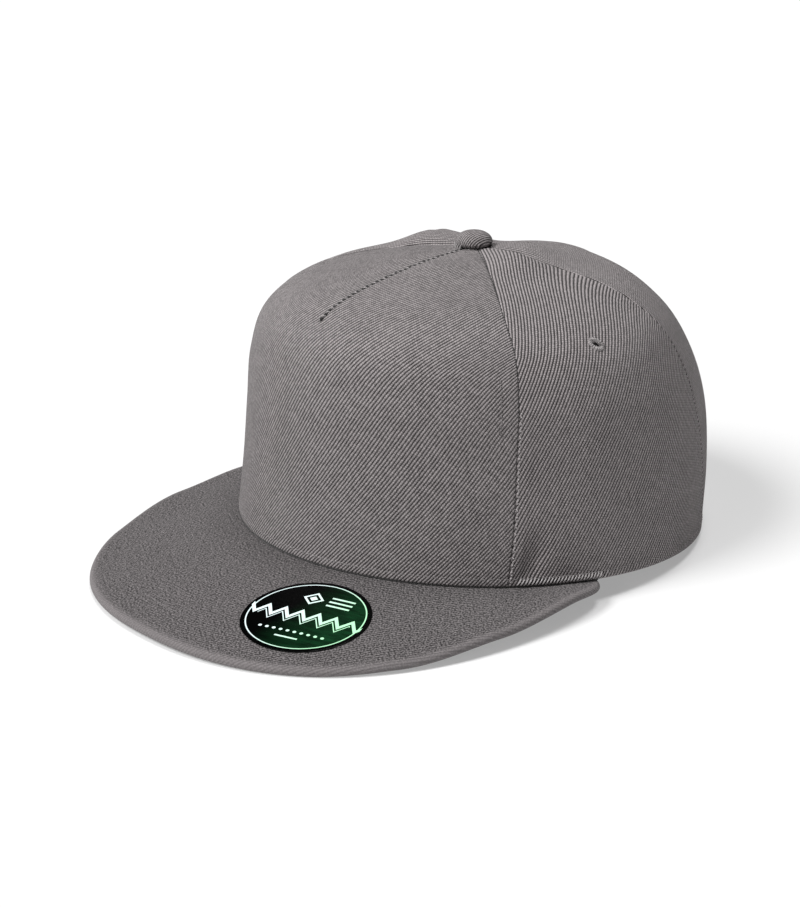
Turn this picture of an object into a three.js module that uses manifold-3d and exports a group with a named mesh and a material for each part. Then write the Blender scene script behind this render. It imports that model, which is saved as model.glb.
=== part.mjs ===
// Five-panel cap with a flat peak, standing by itself on a surface.
// Millimetres, +Z up. The peak points along -Y and the wearer's left is +X.
// The crown rests on its back rim at z = 0, and the peak on its front edge.

import * as THREE from 'three';
import { mergeVertices } from 'three/addons/utils/BufferGeometryUtils.js';
import Module from 'manifold-3d';

const wasm = await Module();
wasm.setup();

// Driving dimensions of the crown
const HALF_WIDTH = 89;
const FRONT_DEPTH = 97.8;
const BACK_DEPTH = 93;
const CROWN_HEIGHT = 116.7;
const WALL = 2;
const SEAM_GAP = 0.36;
const RIM_FLAT_FROM = 80; // behind this Y the rim lies on the surface
const RIM_SLOPE = 0.086; // forward of it the rim climbs towards the peak

// Level sections of the crown, evenly spaced along its height lines. rise is a
// share of the crown's height; front, side and back are shares of its rim size.
const SECTIONS = [
  { rise: 0, front: 1, side: 1, back: 1 },
  { rise: 0.22, front: 0.964, side: 0.985, back: 1.049 },
  { rise: 0.44, front: 0.947, side: 0.959, back: 1.038 },
  { rise: 0.64, front: 0.93, side: 0.932, back: 0.92 },
  { rise: 0.8, front: 0.876, side: 0.844, back: 0.765 },
  { rise: 0.91, front: 0.703, side: 0.623, back: 0.58 },
  { rise: 0.975, front: 0.358, side: 0.307, back: 0.235 },
  { rise: 1, front: 0, side: 0, back: 0 },
];

// Seams, as degrees round from the middle of the front at the rim and at the top
const FRONT_SIDE_SEAM = { rim: 57, top: 64.1 };
const SIDE_BACK_SEAM = { rim: 126, top: 108.7 };

// Each panel stands proud between its seams where the wall turns into the roof
const BULGE = { front: 1, side: 3.8, back: 2.8, share: 0.878, spread: 0.062 };
const BULGE_CENTRE = new THREE.Vector3(0, 0, 60);

// The button covers the small hole where the panels end
const APEX_SHARE = 0.985;
const BUTTON = { radius: 7.3, height: 5.5, lift: 0.75, stemRadius: 1.5, stemLength: 3.5 };

// Vent holes of the side panels
const EYELET = { angle: 84.4, share: 0.577, radius: 1.1 };

// Flat peak: its outline is a superellipse in front of widestY and a quarter
// ellipse behind it, which tucks in under the rim at each end
const PEAK = {
  halfWidth: 96.7, tipY: -163.3, widestY: -56.3, roundness: 2.27, endX: 86, endY: -18,
  thickness: 3.4, crest: 0.6, tuck: 1.7, rimGap: 0.45, jointAngle: 78.2,
};
// Height of the underside's edge above the surface, by share of half the outline
const PEAK_EDGE = [
  { share: 0, height: 0.6 },
  { share: 0.35, height: -0.3 },
  { share: 0.5, height: 0.8 },
  { share: 0.7, height: 4.4 },
  { share: 0.88, height: 7.2 },
  { share: 1, height: 4.6 },
];

// Round label on the peak
const LABEL = { x: 42, y: -122.2, radius: 24.6, thickness: 0.5, gap: 0.3 };

// Sweatband inside the rim, open behind where the strap closes the cap
const BAND = { height: 30, hem: 1.5, thickness: 1.3, gap: 0.35, endAngle: 148 };

// Arched opening at the back and the strap that closes it
const ARCH = { halfWidth: 33, height: 43 };
const STRAP = {
  low: 1.6, high: 19.6, gap: 0.4, thickness: 1.5, lap: 1.2, lapAngle: 15, endAngle: 30,
  pegs: 6, pegSpacing: 7, pegRadius: 2.2, pegHeight: 0.8,
};

const CLOTH = new THREE.Color(0x6e6868);
const colours = {
  cloth: { color: CLOTH, roughness: 0.95, metalness: 0 },
  band: { color: new THREE.Color(0x5c5757), roughness: 0.95, metalness: 0 },
  strap: { color: new THREE.Color(0x5a5656), roughness: 0.5, metalness: 0 },
  label: { color: new THREE.Color(0x101412), roughness: 0.2, metalness: 0 },
};

const radians = THREE.MathUtils.degToRad;
const lerp = THREE.MathUtils.lerp;

// Value of a table's column at a share from 0 to 1, on a smooth curve through
// evenly spaced rows that runs straight on past both ends
function smoothColumn(table, column, share) {
  const last = table.length - 1;
  const place = Math.min(Math.max(share, 0), 1) * last;
  const row = Math.min(Math.floor(place), last - 1);
  const t = place - row;
  const value = (index) => {
    if (index < 0) return 2 * table[0][column] - table[1][column];
    if (index > last) return 2 * table[last][column] - table[last - 1][column];
    return table[index][column];
  };
  const [a, b, c, d] = [value(row - 1), value(row), value(row + 1), value(row + 2)];
  const slope = (c - a) / 2;
  const nextSlope = (d - b) / 2;
  const square = t * t;
  const cube = square * t;
  return (2 * cube - 3 * square + 1) * b + (cube - 2 * square + t) * slope
    + (3 * square - 2 * cube) * c + (cube - square) * nextSlope;
}

// Value of a table's column between rows that state their own share
function eased(table, column, share) {
  const next = Math.max(1, table.findIndex((row) => row.share >= share));
  const [from, to] = [table[next - 1], table[next]];
  const t = (share - from.share) / (to.share - from.share);
  return lerp(from[column], to[column], t * t * (3 - 2 * t));
}

const rimHeight = (y) => RIM_SLOPE * Math.max(RIM_FLAT_FROM - y, 0);
const seamAngle = (seam, share) => lerp(seam.rim, seam.top, share);

// Point of the crown's outer face without the panels' bulges
function plainCrown(angle, share) {
  const turn = radians(angle);
  const half = Math.cos(turn) > 0 ? 'front' : 'back';
  const depth = half === 'front' ? FRONT_DEPTH : BACK_DEPTH;
  const rise = smoothColumn(SECTIONS, 'rise', share);
  return new THREE.Vector3(
    HALF_WIDTH * smoothColumn(SECTIONS, 'side', share) * Math.sin(turn),
    -depth * smoothColumn(SECTIONS, half, share) * Math.cos(turn),
    rise * CROWN_HEIGHT + rimHeight(-depth * Math.cos(turn)) * (1 - rise),
  );
}

// How far the panel at an angle stands proud there
function bulgeAt(angle, share) {
  const round = Math.abs(angle > 180 ? angle - 360 : angle);
  const first = seamAngle(FRONT_SIDE_SEAM, share);
  const second = seamAngle(SIDE_BACK_SEAM, share);
  let across = round / first;
  let size = BULGE.front;
  if (round > first) {
    across = (round - first) / (second - first);
    size = BULGE.side;
  }
  if (round > second) {
    across = (round - second) / (180 - second);
    size = BULGE.back;
  }
  const fade = Math.exp(-(((share - BULGE.share) / BULGE.spread) ** 2));
  return size * Math.sin(Math.PI * across) * fade;
}

// Outward direction of the plain crown, from two short steps on it
function crownNormal(angle, share) {
  const step = 0.004;
  const across = plainCrown(angle + 1, share).sub(plainCrown(angle - 1, share));
  const up = plainCrown(angle, share + step).sub(plainCrown(angle, share - step));
  return across.cross(up).normalize();
}

// Point of the crown, a depth below its outer face; the rim stays level
function crownPoint(angle, share, depth = 0) {
  const plain = plainCrown(angle, share);
  const outward = plain.clone().sub(BULGE_CENTRE).normalize();
  const point = plain.clone().addScaledVector(outward, bulgeAt(angle, share));
  point.addScaledVector(crownNormal(angle, Math.max(share, 0.01)), -depth);
  if (share === 0) point.z = plain.z;
  return point;
}

// Share of a height line at which the plain crown reaches a height above the rim
function shareAtHeight(height) {
  let [low, high] = [0, 1];
  for (let pass = 0; pass < 40; pass += 1) {
    const middle = (low + high) / 2;
    if (smoothColumn(SECTIONS, 'rise', middle) * CROWN_HEIGHT < height) low = middle;
    else high = middle;
  }
  return low;
}

// Closed wall between two grids of points, faces outwards
function wallBetween(outer, inner) {
  const [rows, columns] = [outer.length, outer[0].length];
  const points = [...outer.flat(), ...inner.flat()];
  const at = (side, row, column) => (side * rows + row) * columns + column;
  const index = [];
  const quad = (a, b, c, d) => index.push(a, b, c, a, c, d);
  for (let row = 0; row < rows - 1; row += 1) {
    for (let column = 0; column < columns - 1; column += 1) {
      quad(at(0, row, column), at(0, row + 1, column), at(0, row + 1, column + 1), at(0, row, column + 1));
      quad(at(1, row, column), at(1, row, column + 1), at(1, row + 1, column + 1), at(1, row + 1, column));
    }
  }
  for (let row = 0; row < rows - 1; row += 1) {
    quad(at(0, row, 0), at(1, row, 0), at(1, row + 1, 0), at(0, row + 1, 0));
    const end = columns - 1;
    quad(at(0, row, end), at(0, row + 1, end), at(1, row + 1, end), at(1, row, end));
  }
  for (let column = 0; column < columns - 1; column += 1) {
    quad(at(0, 0, column), at(0, 0, column + 1), at(1, 0, column + 1), at(1, 0, column));
    const end = rows - 1;
    quad(at(0, end, column), at(1, end, column), at(1, end, column + 1), at(0, end, column + 1));
  }
  const geometry = new THREE.BufferGeometry().setFromPoints(points);
  geometry.setIndex(index);
  return facingOut(geometry);
}

// The same mesh with its faces turned if it encloses a negative volume
function facingOut(geometry) {
  const place = geometry.getAttribute('position');
  const index = geometry.getIndex();
  const corner = (k) => new THREE.Vector3().fromBufferAttribute(place, index.getX(k));
  let volume = 0;
  for (let k = 0; k < index.count; k += 3) volume += corner(k).dot(corner(k + 1).cross(corner(k + 2)));
  if (volume < 0) {
    for (let k = 0; k < index.count; k += 3) {
      const first = index.getX(k);
      index.setX(k, index.getX(k + 1));
      index.setX(k + 1, first);
    }
  }
  return geometry;
}

// Grid of values: rows steps one way and columns steps the other, ends included
function grid(rows, columns, make) {
  return Array.from({ length: rows + 1 }, (_, row) => (
    Array.from({ length: columns + 1 }, (_, column) => make(row / rows, column / columns))
  ));
}

function solidOf(geometry) {
  const bare = geometry.clone();
  bare.deleteAttribute('normal');
  bare.deleteAttribute('uv');
  const merged = mergeVertices(bare, 1e-4);
  return new wasm.Manifold(new wasm.Mesh({
    numProp: 3,
    vertProperties: new Float32Array(merged.getAttribute('position').array),
    triVerts: new Uint32Array(merged.getIndex().array),
  }));
}

function geometryOf(solid) {
  const mesh = solid.getMesh();
  const geometry = new THREE.BufferGeometry();
  geometry.setAttribute('position', new THREE.BufferAttribute(new Float32Array(mesh.vertProperties), 3));
  geometry.setIndex(new THREE.BufferAttribute(new Uint32Array(mesh.triVerts), 1));
  return geometry;
}

const without = (geometry, cutter) => geometryOf(solidOf(geometry).subtract(solidOf(cutter)));
const joined = (geometry, other) => geometryOf(solidOf(geometry).add(solidOf(other)));

// One panel of the crown between two seams, each a function of the share up
function panel(fromSeam, toSeam, steps, rowsUp) {
  const angleAt = (across, share) => {
    const [from, to] = [fromSeam(share), toSeam(share)];
    const speed = (angle) => plainCrown(angle + 1, share).distanceTo(plainCrown(angle - 1, share)) / 2;
    return lerp(from + SEAM_GAP / 2 / speed(from), to - SEAM_GAP / 2 / speed(to), across);
  };
  const face = (depth) => grid(rowsUp, steps, (up, across) => {
    const share = up * APEX_SHARE;
    return crownPoint(angleAt(across, share), share, depth);
  });
  return wallBetween(face(0), face(WALL));
}

// Cylinder through the wall of a side panel at its vent hole
function eyeletCutter(side) {
  const centre = crownPoint(side * EYELET.angle, EYELET.share, WALL / 2);
  const outward = crownNormal(side * EYELET.angle, EYELET.share);
  const cutter = new THREE.CylinderGeometry(EYELET.radius, EYELET.radius, 4 * WALL, 8);
  cutter.applyQuaternion(new THREE.Quaternion().setFromUnitVectors(new THREE.Vector3(0, 1, 0), outward));
  return cutter.translate(centre.x, centre.y, centre.z);
}

// Upright block with a round top that cuts the arched opening behind
function archCutter() {
  const straight = ARCH.height - ARCH.halfWidth;
  const outline = new THREE.Shape();
  outline.moveTo(-ARCH.halfWidth, -10);
  outline.lineTo(ARCH.halfWidth, -10);
  outline.absarc(0, straight, ARCH.halfWidth, 0, Math.PI, false);
  const block = new THREE.ExtrudeGeometry(outline, { depth: 80, bevelEnabled: false, curveSegments: 12 });
  return block.rotateX(Math.PI / 2).translate(0, BACK_DEPTH + 40, 0);
}

function frontPanel() {
  const seam = (share) => seamAngle(FRONT_SIDE_SEAM, share);
  return panel((share) => -seam(share), seam, 22, 18);
}

function sidePanel(side) {
  const near = (share) => side * seamAngle(FRONT_SIDE_SEAM, share);
  const far = (share) => side * seamAngle(SIDE_BACK_SEAM, share);
  const whole = side > 0 ? panel(near, far, 13, 18) : panel(far, near, 13, 18);
  return without(whole, eyeletCutter(side));
}

function backPanel(side) {
  const seam = (share) => side * seamAngle(SIDE_BACK_SEAM, share);
  const middle = () => side * 180;
  const whole = side > 0 ? panel(seam, middle, 11, 18) : panel(middle, seam, 11, 18);
  return without(whole, archCutter());
}

// Half outline of the peak as points, from its tip to where it tucks in
function peakHalfOutline() {
  const points = [];
  const frontSteps = 36;
  for (let step = 0; step <= frontSteps; step += 1) {
    const turn = (Math.PI / 2) * (step / frontSteps);
    const power = 2 / PEAK.roundness;
    points.push(new THREE.Vector2(
      PEAK.halfWidth * Math.sin(turn) ** power,
      PEAK.widestY + (PEAK.tipY - PEAK.widestY) * Math.cos(turn) ** power,
    ));
  }
  const backSteps = 18;
  for (let step = 1; step <= backSteps; step += 1) {
    const turn = (Math.PI / 2) * (step / backSteps);
    points.push(new THREE.Vector2(
      lerp(PEAK.endX, PEAK.halfWidth, Math.cos(turn)),
      lerp(PEAK.widestY, PEAK.endY, Math.sin(turn)),
    ));
  }
  return points;
}

// Point of the outline at a share of its length
function outlinePoint(outline, share) {
  const lengths = [0];
  for (let k = 1; k < outline.length; k += 1) {
    lengths.push(lengths[k - 1] + outline[k].distanceTo(outline[k - 1]));
  }
  const wanted = share * lengths[lengths.length - 1];
  const next = Math.min(Math.max(1, lengths.findIndex((length) => length >= wanted)), outline.length - 1);
  const t = (wanted - lengths[next - 1]) / (lengths[next] - lengths[next - 1]);
  return outline[next - 1].clone().lerp(outline[next], t);
}

// The peak: a stiff board between the rim and the outline, round along its edge
function peak() {
  const outline = peakHalfOutline();
  const half = PEAK.thickness / 2;
  const rounding = [{ in: 1, up: 1 }, { in: 0.3, up: 0.72 }, { in: 0, up: 0.25 }];
  const line = (side, share) => {
    const turn = radians(PEAK.jointAngle * share);
    const start = new THREE.Vector3(
      (HALF_WIDTH - PEAK.tuck) * Math.sin(turn),
      -(FRONT_DEPTH - PEAK.tuck) * Math.cos(turn),
      0,
    );
    start.z = rimHeight(start.y) - PEAK.rimGap - half;
    const edge = outlinePoint(outline, share);
    const end = new THREE.Vector3(edge.x, edge.y, eased(PEAK_EDGE, 'height', share) + half);
    [start, end].forEach((point) => point.setX(side * point.x));
    return { start, end };
  };
  const face = (sign) => grid(44, 7, (along) => along).map((row, number) => {
    const position = (number / 44) * 2 - 1;
    const { start, end } = line(Math.sign(position) || 1, Math.abs(position));
    const length = start.distanceTo(end);
    const round = Math.min(half, length * 0.4);
    const flat = [0, 0.25, 0.5, 0.75].map((part) => ({ at: part * (1 - round / length), up: 1 }));
    const rim = rounding.map((stop) => ({ at: 1 - (stop.in * round) / length, up: stop.up }));
    return [...flat, ...rim].map(({ at, up }) => {
      const point = start.clone().lerp(end, at);
      const crest = PEAK.crest * Math.sin(Math.PI * at) * (1 - Math.abs(position));
      point.z += crest + sign * half * up;
      return point;
    });
  });
  return wallBetween(face(1), face(-1));
}

// Thin round label that follows the top of the peak beneath it
function label(peakMesh) {
  const caster = new THREE.Raycaster();
  const down = new THREE.Vector3(0, 0, -1);
  const topAt = (x, y) => {
    caster.set(new THREE.Vector3(x, y, 60), down);
    return caster.intersectObject(peakMesh)[0].point.z + LABEL.gap;
  };
  const face = (lift) => grid(32, 5, (around, out) => ({ around, out })).map((row) => row.map(({ around, out }) => {
    const turn = Math.PI * 2 * around;
    const x = LABEL.x + LABEL.radius * out * Math.cos(turn);
    const y = LABEL.y + LABEL.radius * out * Math.sin(turn);
    return new THREE.Vector3(x, y, topAt(x, y) + lift);
  }));
  return discBetween(face(LABEL.thickness), face(0));
}

// Closed disc between two polar grids whose first column is the centre
function discBetween(top, bottom) {
  const turns = top.length - 1;
  const rings = top[0].length - 1;
  const points = [];
  const index = [];
  const sides = [top, bottom];
  sides.forEach((face) => {
    points.push(face[0][0]);
    for (let turn = 0; turn < turns; turn += 1) points.push(...face[turn].slice(1));
  });
  const size = 1 + turns * rings;
  const at = (side, turn, ring) => side * size + (ring === 0 ? 0 : 1 + (turn % turns) * rings + ring - 1);
  for (let turn = 0; turn < turns; turn += 1) {
    index.push(at(0, turn, 0), at(0, turn, 1), at(0, turn + 1, 1));
    index.push(at(1, turn, 0), at(1, turn + 1, 1), at(1, turn, 1));
    for (let ring = 1; ring < rings; ring += 1) {
      const [a, b, c, d] = [[turn, ring], [turn, ring + 1], [turn + 1, ring + 1], [turn + 1, ring]];
      index.push(at(0, ...a), at(0, ...b), at(0, ...c), at(0, ...a), at(0, ...c), at(0, ...d));
      index.push(at(1, ...a), at(1, ...c), at(1, ...b), at(1, ...a), at(1, ...d), at(1, ...c));
    }
    const [a, b] = [at(0, turn, rings), at(0, turn + 1, rings)];
    const [c, d] = [at(1, turn + 1, rings), at(1, turn, rings)];
    index.push(a, d, c, a, c, b);
  }
  const geometry = new THREE.BufferGeometry().setFromPoints(points);
  geometry.setIndex(index);
  return facingOut(geometry);
}

// Cloth-covered button with the short stem that holds it over the apex
function topButton() {
  const { radius, height, lift, stemRadius, stemLength } = BUTTON;
  const base = CROWN_HEIGHT + lift;
  const profile = [
    new THREE.Vector2(0, base - stemLength),
    new THREE.Vector2(stemRadius, base - stemLength),
    new THREE.Vector2(stemRadius, base),
    new THREE.Vector2(radius * 0.86, base),
  ];
  const domeSteps = 7;
  for (let step = 0; step <= domeSteps; step += 1) {
    const turn = (Math.PI / 2) * (step / domeSteps);
    profile.push(new THREE.Vector2(
      radius * Math.cos(turn) ** 0.8,
      base + height * 0.22 + height * 0.78 * Math.sin(turn),
    ));
  }
  profile[profile.length - 1].x = 0;
  return new THREE.LatheGeometry(profile, 24).rotateX(Math.PI / 2);
}

// Soft band round the inside of the rim, with its ends beside the strap's
function sweatband() {
  const depth = WALL + BAND.gap;
  const face = (inset) => grid(3, 54, (up, around) => {
    const height = lerp(BAND.hem, BAND.height, up);
    return crownPoint(lerp(-BAND.endAngle, BAND.endAngle, around), shareAtHeight(height), inset);
  });
  return wallBetween(face(depth), face(depth + BAND.thickness));
}

// Closing strap: one curved band, doubled in the middle where its halves lap,
// with a row of press pegs
function snapStrap() {
  const depth = WALL + STRAP.gap;
  const step = 0.4;
  const angles = [-STRAP.endAngle, -24, -19, -STRAP.lapAngle - step, -STRAP.lapAngle, -10, -5, 0,
    5, 10, STRAP.lapAngle, STRAP.lapAngle + step, 19, 24, STRAP.endAngle];
  const lowShare = shareAtHeight(STRAP.low);
  const highShare = shareAtHeight(STRAP.high);
  const face = (inset) => [0, 0.5, 1].map((up) => angles.map((angle) => (
    crownPoint(180 + angle, lerp(lowShare, highShare, up), inset(angle))
  )));
  const outer = (angle) => (Math.abs(angle) <= STRAP.lapAngle ? depth - STRAP.lap : depth);
  let strap = wallBetween(face(outer), face(() => depth + STRAP.thickness));
  const middle = (lowShare + highShare) / 2;
  for (let number = 0; number < STRAP.pegs; number += 1) {
    const offset = (number - (STRAP.pegs - 1) / 2) * STRAP.pegSpacing;
    const angle = 180 + THREE.MathUtils.radToDeg(offset / BACK_DEPTH);
    const foot = crownPoint(angle, middle, depth - STRAP.lap);
    const outward = crownNormal(angle, middle);
    const peg = new THREE.CylinderGeometry(STRAP.pegRadius, STRAP.pegRadius, 2 * STRAP.pegHeight, 10);
    peg.applyQuaternion(new THREE.Quaternion().setFromUnitVectors(new THREE.Vector3(0, 1, 0), outward));
    strap = joined(strap, peg.translate(foot.x, foot.y, foot.z));
  }
  return strap;
}

const group = new THREE.Group();

function add(name, geometry, finish) {
  const mesh = new THREE.Mesh(geometry, new THREE.MeshStandardMaterial(finish));
  mesh.name = name;
  group.add(mesh);
  return mesh;
}

add('front_panel', frontPanel(), colours.cloth);
add('side_panel_left', sidePanel(1), colours.cloth);
add('side_panel_right', sidePanel(-1), colours.cloth);
add('back_panel_left', backPanel(1), colours.cloth);
add('back_panel_right', backPanel(-1), colours.cloth);
const peakMesh = add('peak', peak(), colours.cloth);
add('top_button', topButton(), colours.cloth);
add('sweatband', sweatband(), colours.band);
add('snap_strap', snapStrap(), colours.strap);
add('peak_label', label(peakMesh), colours.label);

// The origin is on the surface, below the middle of the whole cap
const box = new THREE.Box3().setFromObject(group, true);
group.position.set(0, -(box.min.y + box.max.y) / 2, 0);

export default group;
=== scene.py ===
# %% [markdown]
# # A five-panel cap with a flat peak
# The cap is sewn from five pieces of ribbed twill, a stiff peak, a covered button and a few
# hidden parts. The CAD model already has every part at its real size and place, so this lesson
# starts from it. Cloth is a thin surface that is worked out from a formula, and its small ribs
# are left to a material, because a million tiny ridges would slow Blender down and look the same.

import bpy
import numpy as np
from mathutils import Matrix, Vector
from mathutils.kdtree import KDTree


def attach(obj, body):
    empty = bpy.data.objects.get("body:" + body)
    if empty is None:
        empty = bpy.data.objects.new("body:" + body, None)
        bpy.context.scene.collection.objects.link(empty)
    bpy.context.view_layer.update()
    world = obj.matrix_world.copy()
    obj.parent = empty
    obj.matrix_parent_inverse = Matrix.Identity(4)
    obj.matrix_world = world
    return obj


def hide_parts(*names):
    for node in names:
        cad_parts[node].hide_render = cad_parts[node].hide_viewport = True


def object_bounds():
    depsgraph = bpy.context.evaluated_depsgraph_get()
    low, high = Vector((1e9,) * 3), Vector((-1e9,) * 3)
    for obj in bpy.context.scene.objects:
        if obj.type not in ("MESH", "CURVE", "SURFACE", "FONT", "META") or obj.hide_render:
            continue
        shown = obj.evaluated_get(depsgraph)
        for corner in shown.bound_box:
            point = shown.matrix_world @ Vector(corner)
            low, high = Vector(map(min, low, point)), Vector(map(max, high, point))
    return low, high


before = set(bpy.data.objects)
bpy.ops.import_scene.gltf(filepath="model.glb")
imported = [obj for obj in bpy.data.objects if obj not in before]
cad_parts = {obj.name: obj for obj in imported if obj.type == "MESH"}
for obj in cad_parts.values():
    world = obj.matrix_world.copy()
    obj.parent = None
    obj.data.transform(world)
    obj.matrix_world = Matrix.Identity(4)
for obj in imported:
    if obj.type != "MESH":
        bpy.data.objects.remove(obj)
CAD_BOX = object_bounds()
MM = 0.001
# The formulas count y from the middle of the crown, where the peak's tip is at TIP_Y, and the
# frame counts it from the middle of the whole cap, so every piece is shifted by SHIFT_Y.
TIP_Y = -163.3
SHIFT_Y = CAD_BOX[0][1] / MM - TIP_Y
print("CAD box in mm:", [[round(value / MM, 1) for value in corner] for corner in CAD_BOX])

# %% [markdown]
# ## The camera
# The photograph looks at the cap from its front left corner and a little from above. A long lens
# far away keeps the cap from looking distorted. The camera is placed by two angles and a
# distance, and the lens is shifted a little, because the cap isn't in the middle of the picture.

# %% Camera at the photograph's angle
IMAGE = (800, 907)
VIEW_AZIMUTH, VIEW_ELEVATION, VIEW_DISTANCE = np.radians(46.94), np.radians(19.153), 996.3
FOCAL_PIXELS, SENSOR = 2512.4, 36
TARGET = np.array([0.0, SHIFT_Y, 50.0])
TARGET_PIXEL = (475.33, 407.32)


def direction(azimuth, elevation):
    """Unit vector towards an eye: azimuth 0 is in front of the cap, and 90 on its +X side."""
    level = np.cos(elevation)
    return np.array([np.sin(azimuth) * level, -np.cos(azimuth) * level, np.sin(elevation)])


def aim(thing, place, target):
    """Puts a camera or lamp at a place in mm and turns it so that its -Z axis meets the target."""
    thing.location = Vector(place) * MM
    thing.rotation_euler = Vector(target - place).to_track_quat("-Z", "Y").to_euler()


lens = bpy.data.cameras.new("camera")
camera = bpy.data.objects.new("camera", lens)
bpy.context.scene.collection.objects.link(camera)
bpy.context.scene.camera = camera
aim(camera, TARGET + VIEW_DISTANCE * direction(VIEW_AZIMUTH, VIEW_ELEVATION), TARGET)
lens.sensor_width = SENSOR
lens.lens = SENSOR * FOCAL_PIXELS / IMAGE[1]
lens.shift_x = -(TARGET_PIXEL[0] - IMAGE[0] / 2) / IMAGE[1]
lens.shift_y = (TARGET_PIXEL[1] - IMAGE[1] / 2) / IMAGE[1]
lens.clip_start, lens.clip_end = 0.05, 50
print("lens", round(lens.lens, 1), "mm, shift", round(lens.shift_x, 4), round(lens.shift_y, 4))

# %% [markdown]
# ## Floor and light
# The cap stands in a white studio. One broad lamp is high in front, a little to the wearer's
# right, a weak one is low in front and grazes the side panel, and one almost overhead lights the
# roof.
# All lamps are suns: a sun is equally bright everywhere, so the floor stays evenly white, and
# the wider its angle is, the softer is the shadow. The floor glows a little, like a lit table,
# and its light is what shows on the side panel.

# %% Floor, lamps and world
LAMP_DISTANCE = 1700
FLOOR_HALF = 40.0


def lamp(name, azimuth, elevation, strength, width):
    """Sun that shines from two angles in degrees. Its width is the angle that it fills."""
    data = bpy.data.lights.new(name, "SUN")
    data.energy, data.angle = strength, np.radians(width)
    lit = bpy.data.objects.new(name, data)
    bpy.context.scene.collection.objects.link(lit)
    aim(lit, TARGET + LAMP_DISTANCE * direction(np.radians(azimuth), np.radians(elevation)), TARGET)


lamp("front_lamp", azimuth=-15, elevation=50, strength=3.3, width=24)
lamp("low_lamp", azimuth=12, elevation=14, strength=0.75, width=24)
lamp("top_lamp", azimuth=175, elevation=80, strength=2.1, width=24)
world = bpy.data.worlds.new("studio")
bpy.context.scene.world = world
world.use_nodes = True
sky = world.node_tree.nodes["Background"].inputs
sky["Color"].default_value = (1, 1, 1, 1)
sky["Strength"].default_value = 0.02
bpy.context.scene.view_settings.view_transform = "Standard"

floor_mesh = bpy.data.meshes.new("floor")
corners = np.array([[-1, -1, 0], [1, -1, 0], [1, 1, 0], [-1, 1, 0]]) * FLOOR_HALF
floor_mesh.from_pydata(corners.tolist(), [], [[0, 1, 2, 3]])
floor = bpy.data.objects.new("floor", floor_mesh)
bpy.context.scene.collection.objects.link(floor)
floor_paint = bpy.data.materials.new("floor_paint")
floor_paint.use_nodes = True
paint = floor_paint.node_tree.nodes["Principled BSDF"].inputs
paint["Base Color"].default_value = (0.46, 0.46, 0.46, 1)
paint["Roughness"].default_value = 0.9
paint["Emission Color"].default_value = (1, 1, 1, 1)
paint["Emission Strength"].default_value = 0.33
floor_mesh.materials.append(floor_paint)
print(len(bpy.data.lights), "lamps and a floor", 2 * FLOOR_HALF, "m wide")

# %% [markdown]
# ## The shape of the crown
# The crown is a soft dome on an oval rim. It could be sculpted, but a formula is exact and easy
# to change: a table gives how deep and how wide the crown is at eight levels, and a smooth curve
# runs through its rows. Each point of the cloth is then named by an angle round the crown and
# a share of the way up, and every piece below uses the same two numbers.

# %% The crown as a function of angle and share
HALF_WIDTH, FRONT_DEPTH, BACK_DEPTH, CROWN_HEIGHT, WALL = 89.0, 97.8, 93.0, 116.7, 2.0
RISE = [0, 0.22, 0.44, 0.64, 0.8, 0.91, 0.975, 1]
FRONT = [1, 0.964, 0.947, 0.93, 0.876, 0.703, 0.358, 0]
SIDE = [1, 0.985, 0.959, 0.932, 0.844, 0.623, 0.307, 0]
BACK = [1, 1.049, 1.038, 0.92, 0.765, 0.58, 0.235, 0]
FRONT_SEAM, BACK_SEAM = (57.0, 64.1), (126.0, 108.7)
RIM_FLAT_FROM, RIM_SLOPE = 80, 0.086
BULGES, BULGE_SHARE, BULGE_SPREAD, BULGE_CENTRE = (1.0, 3.8, 2.8), 0.878, 0.062, (0, 0, 60)
# Height in mm, angle and share of each soft spot, and its spread in angle and in share
SOFT_SPOTS = [
    (-3.2, -147.2, 0.731, 14.9, 0.092),
    (-2.3, -150.8, 0.855, 22, 0.05),
    (1.8, -116.9, 0.786, 9, 0.071),
    (-1.7, -89.9, 0.73, 9.5, 0.062),
    (-1.5, -162, 0.848, 13.7, 0.084),
]
TOP_SHARE = 0.985


def smooth_column(column, share):
    """Smooth curve through evenly spaced rows: a cubic between rows, with the slope at a row
    being half the step from the row before it to the row after it."""
    rows = np.r_[2 * column[0] - column[1], column, 2 * column[-1] - column[-2]]
    place = np.clip(share, 0, 1) * (len(column) - 1)
    row = np.minimum(place.astype(int), len(column) - 2)
    t = place - row
    before, low, high, after = rows[row], rows[row + 1], rows[row + 2], rows[row + 3]
    return ((2 * t**3 - 3 * t**2 + 1) * low + (t**3 - 2 * t**2 + t) * (high - before) / 2
            + (3 * t**2 - 2 * t**3) * high + (t**3 - t**2) * (after - low) / 2)


def rim_height(y):
    """The rim lies on the floor behind one y and climbs gently from there to the front."""
    return RIM_SLOPE * np.maximum(RIM_FLAT_FROM - y, 0)


def seam_angle(seam, share):
    """A seam's angle goes straight from its value at the rim to its value at the top."""
    return seam[0] + (seam[1] - seam[0]) * share


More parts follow.
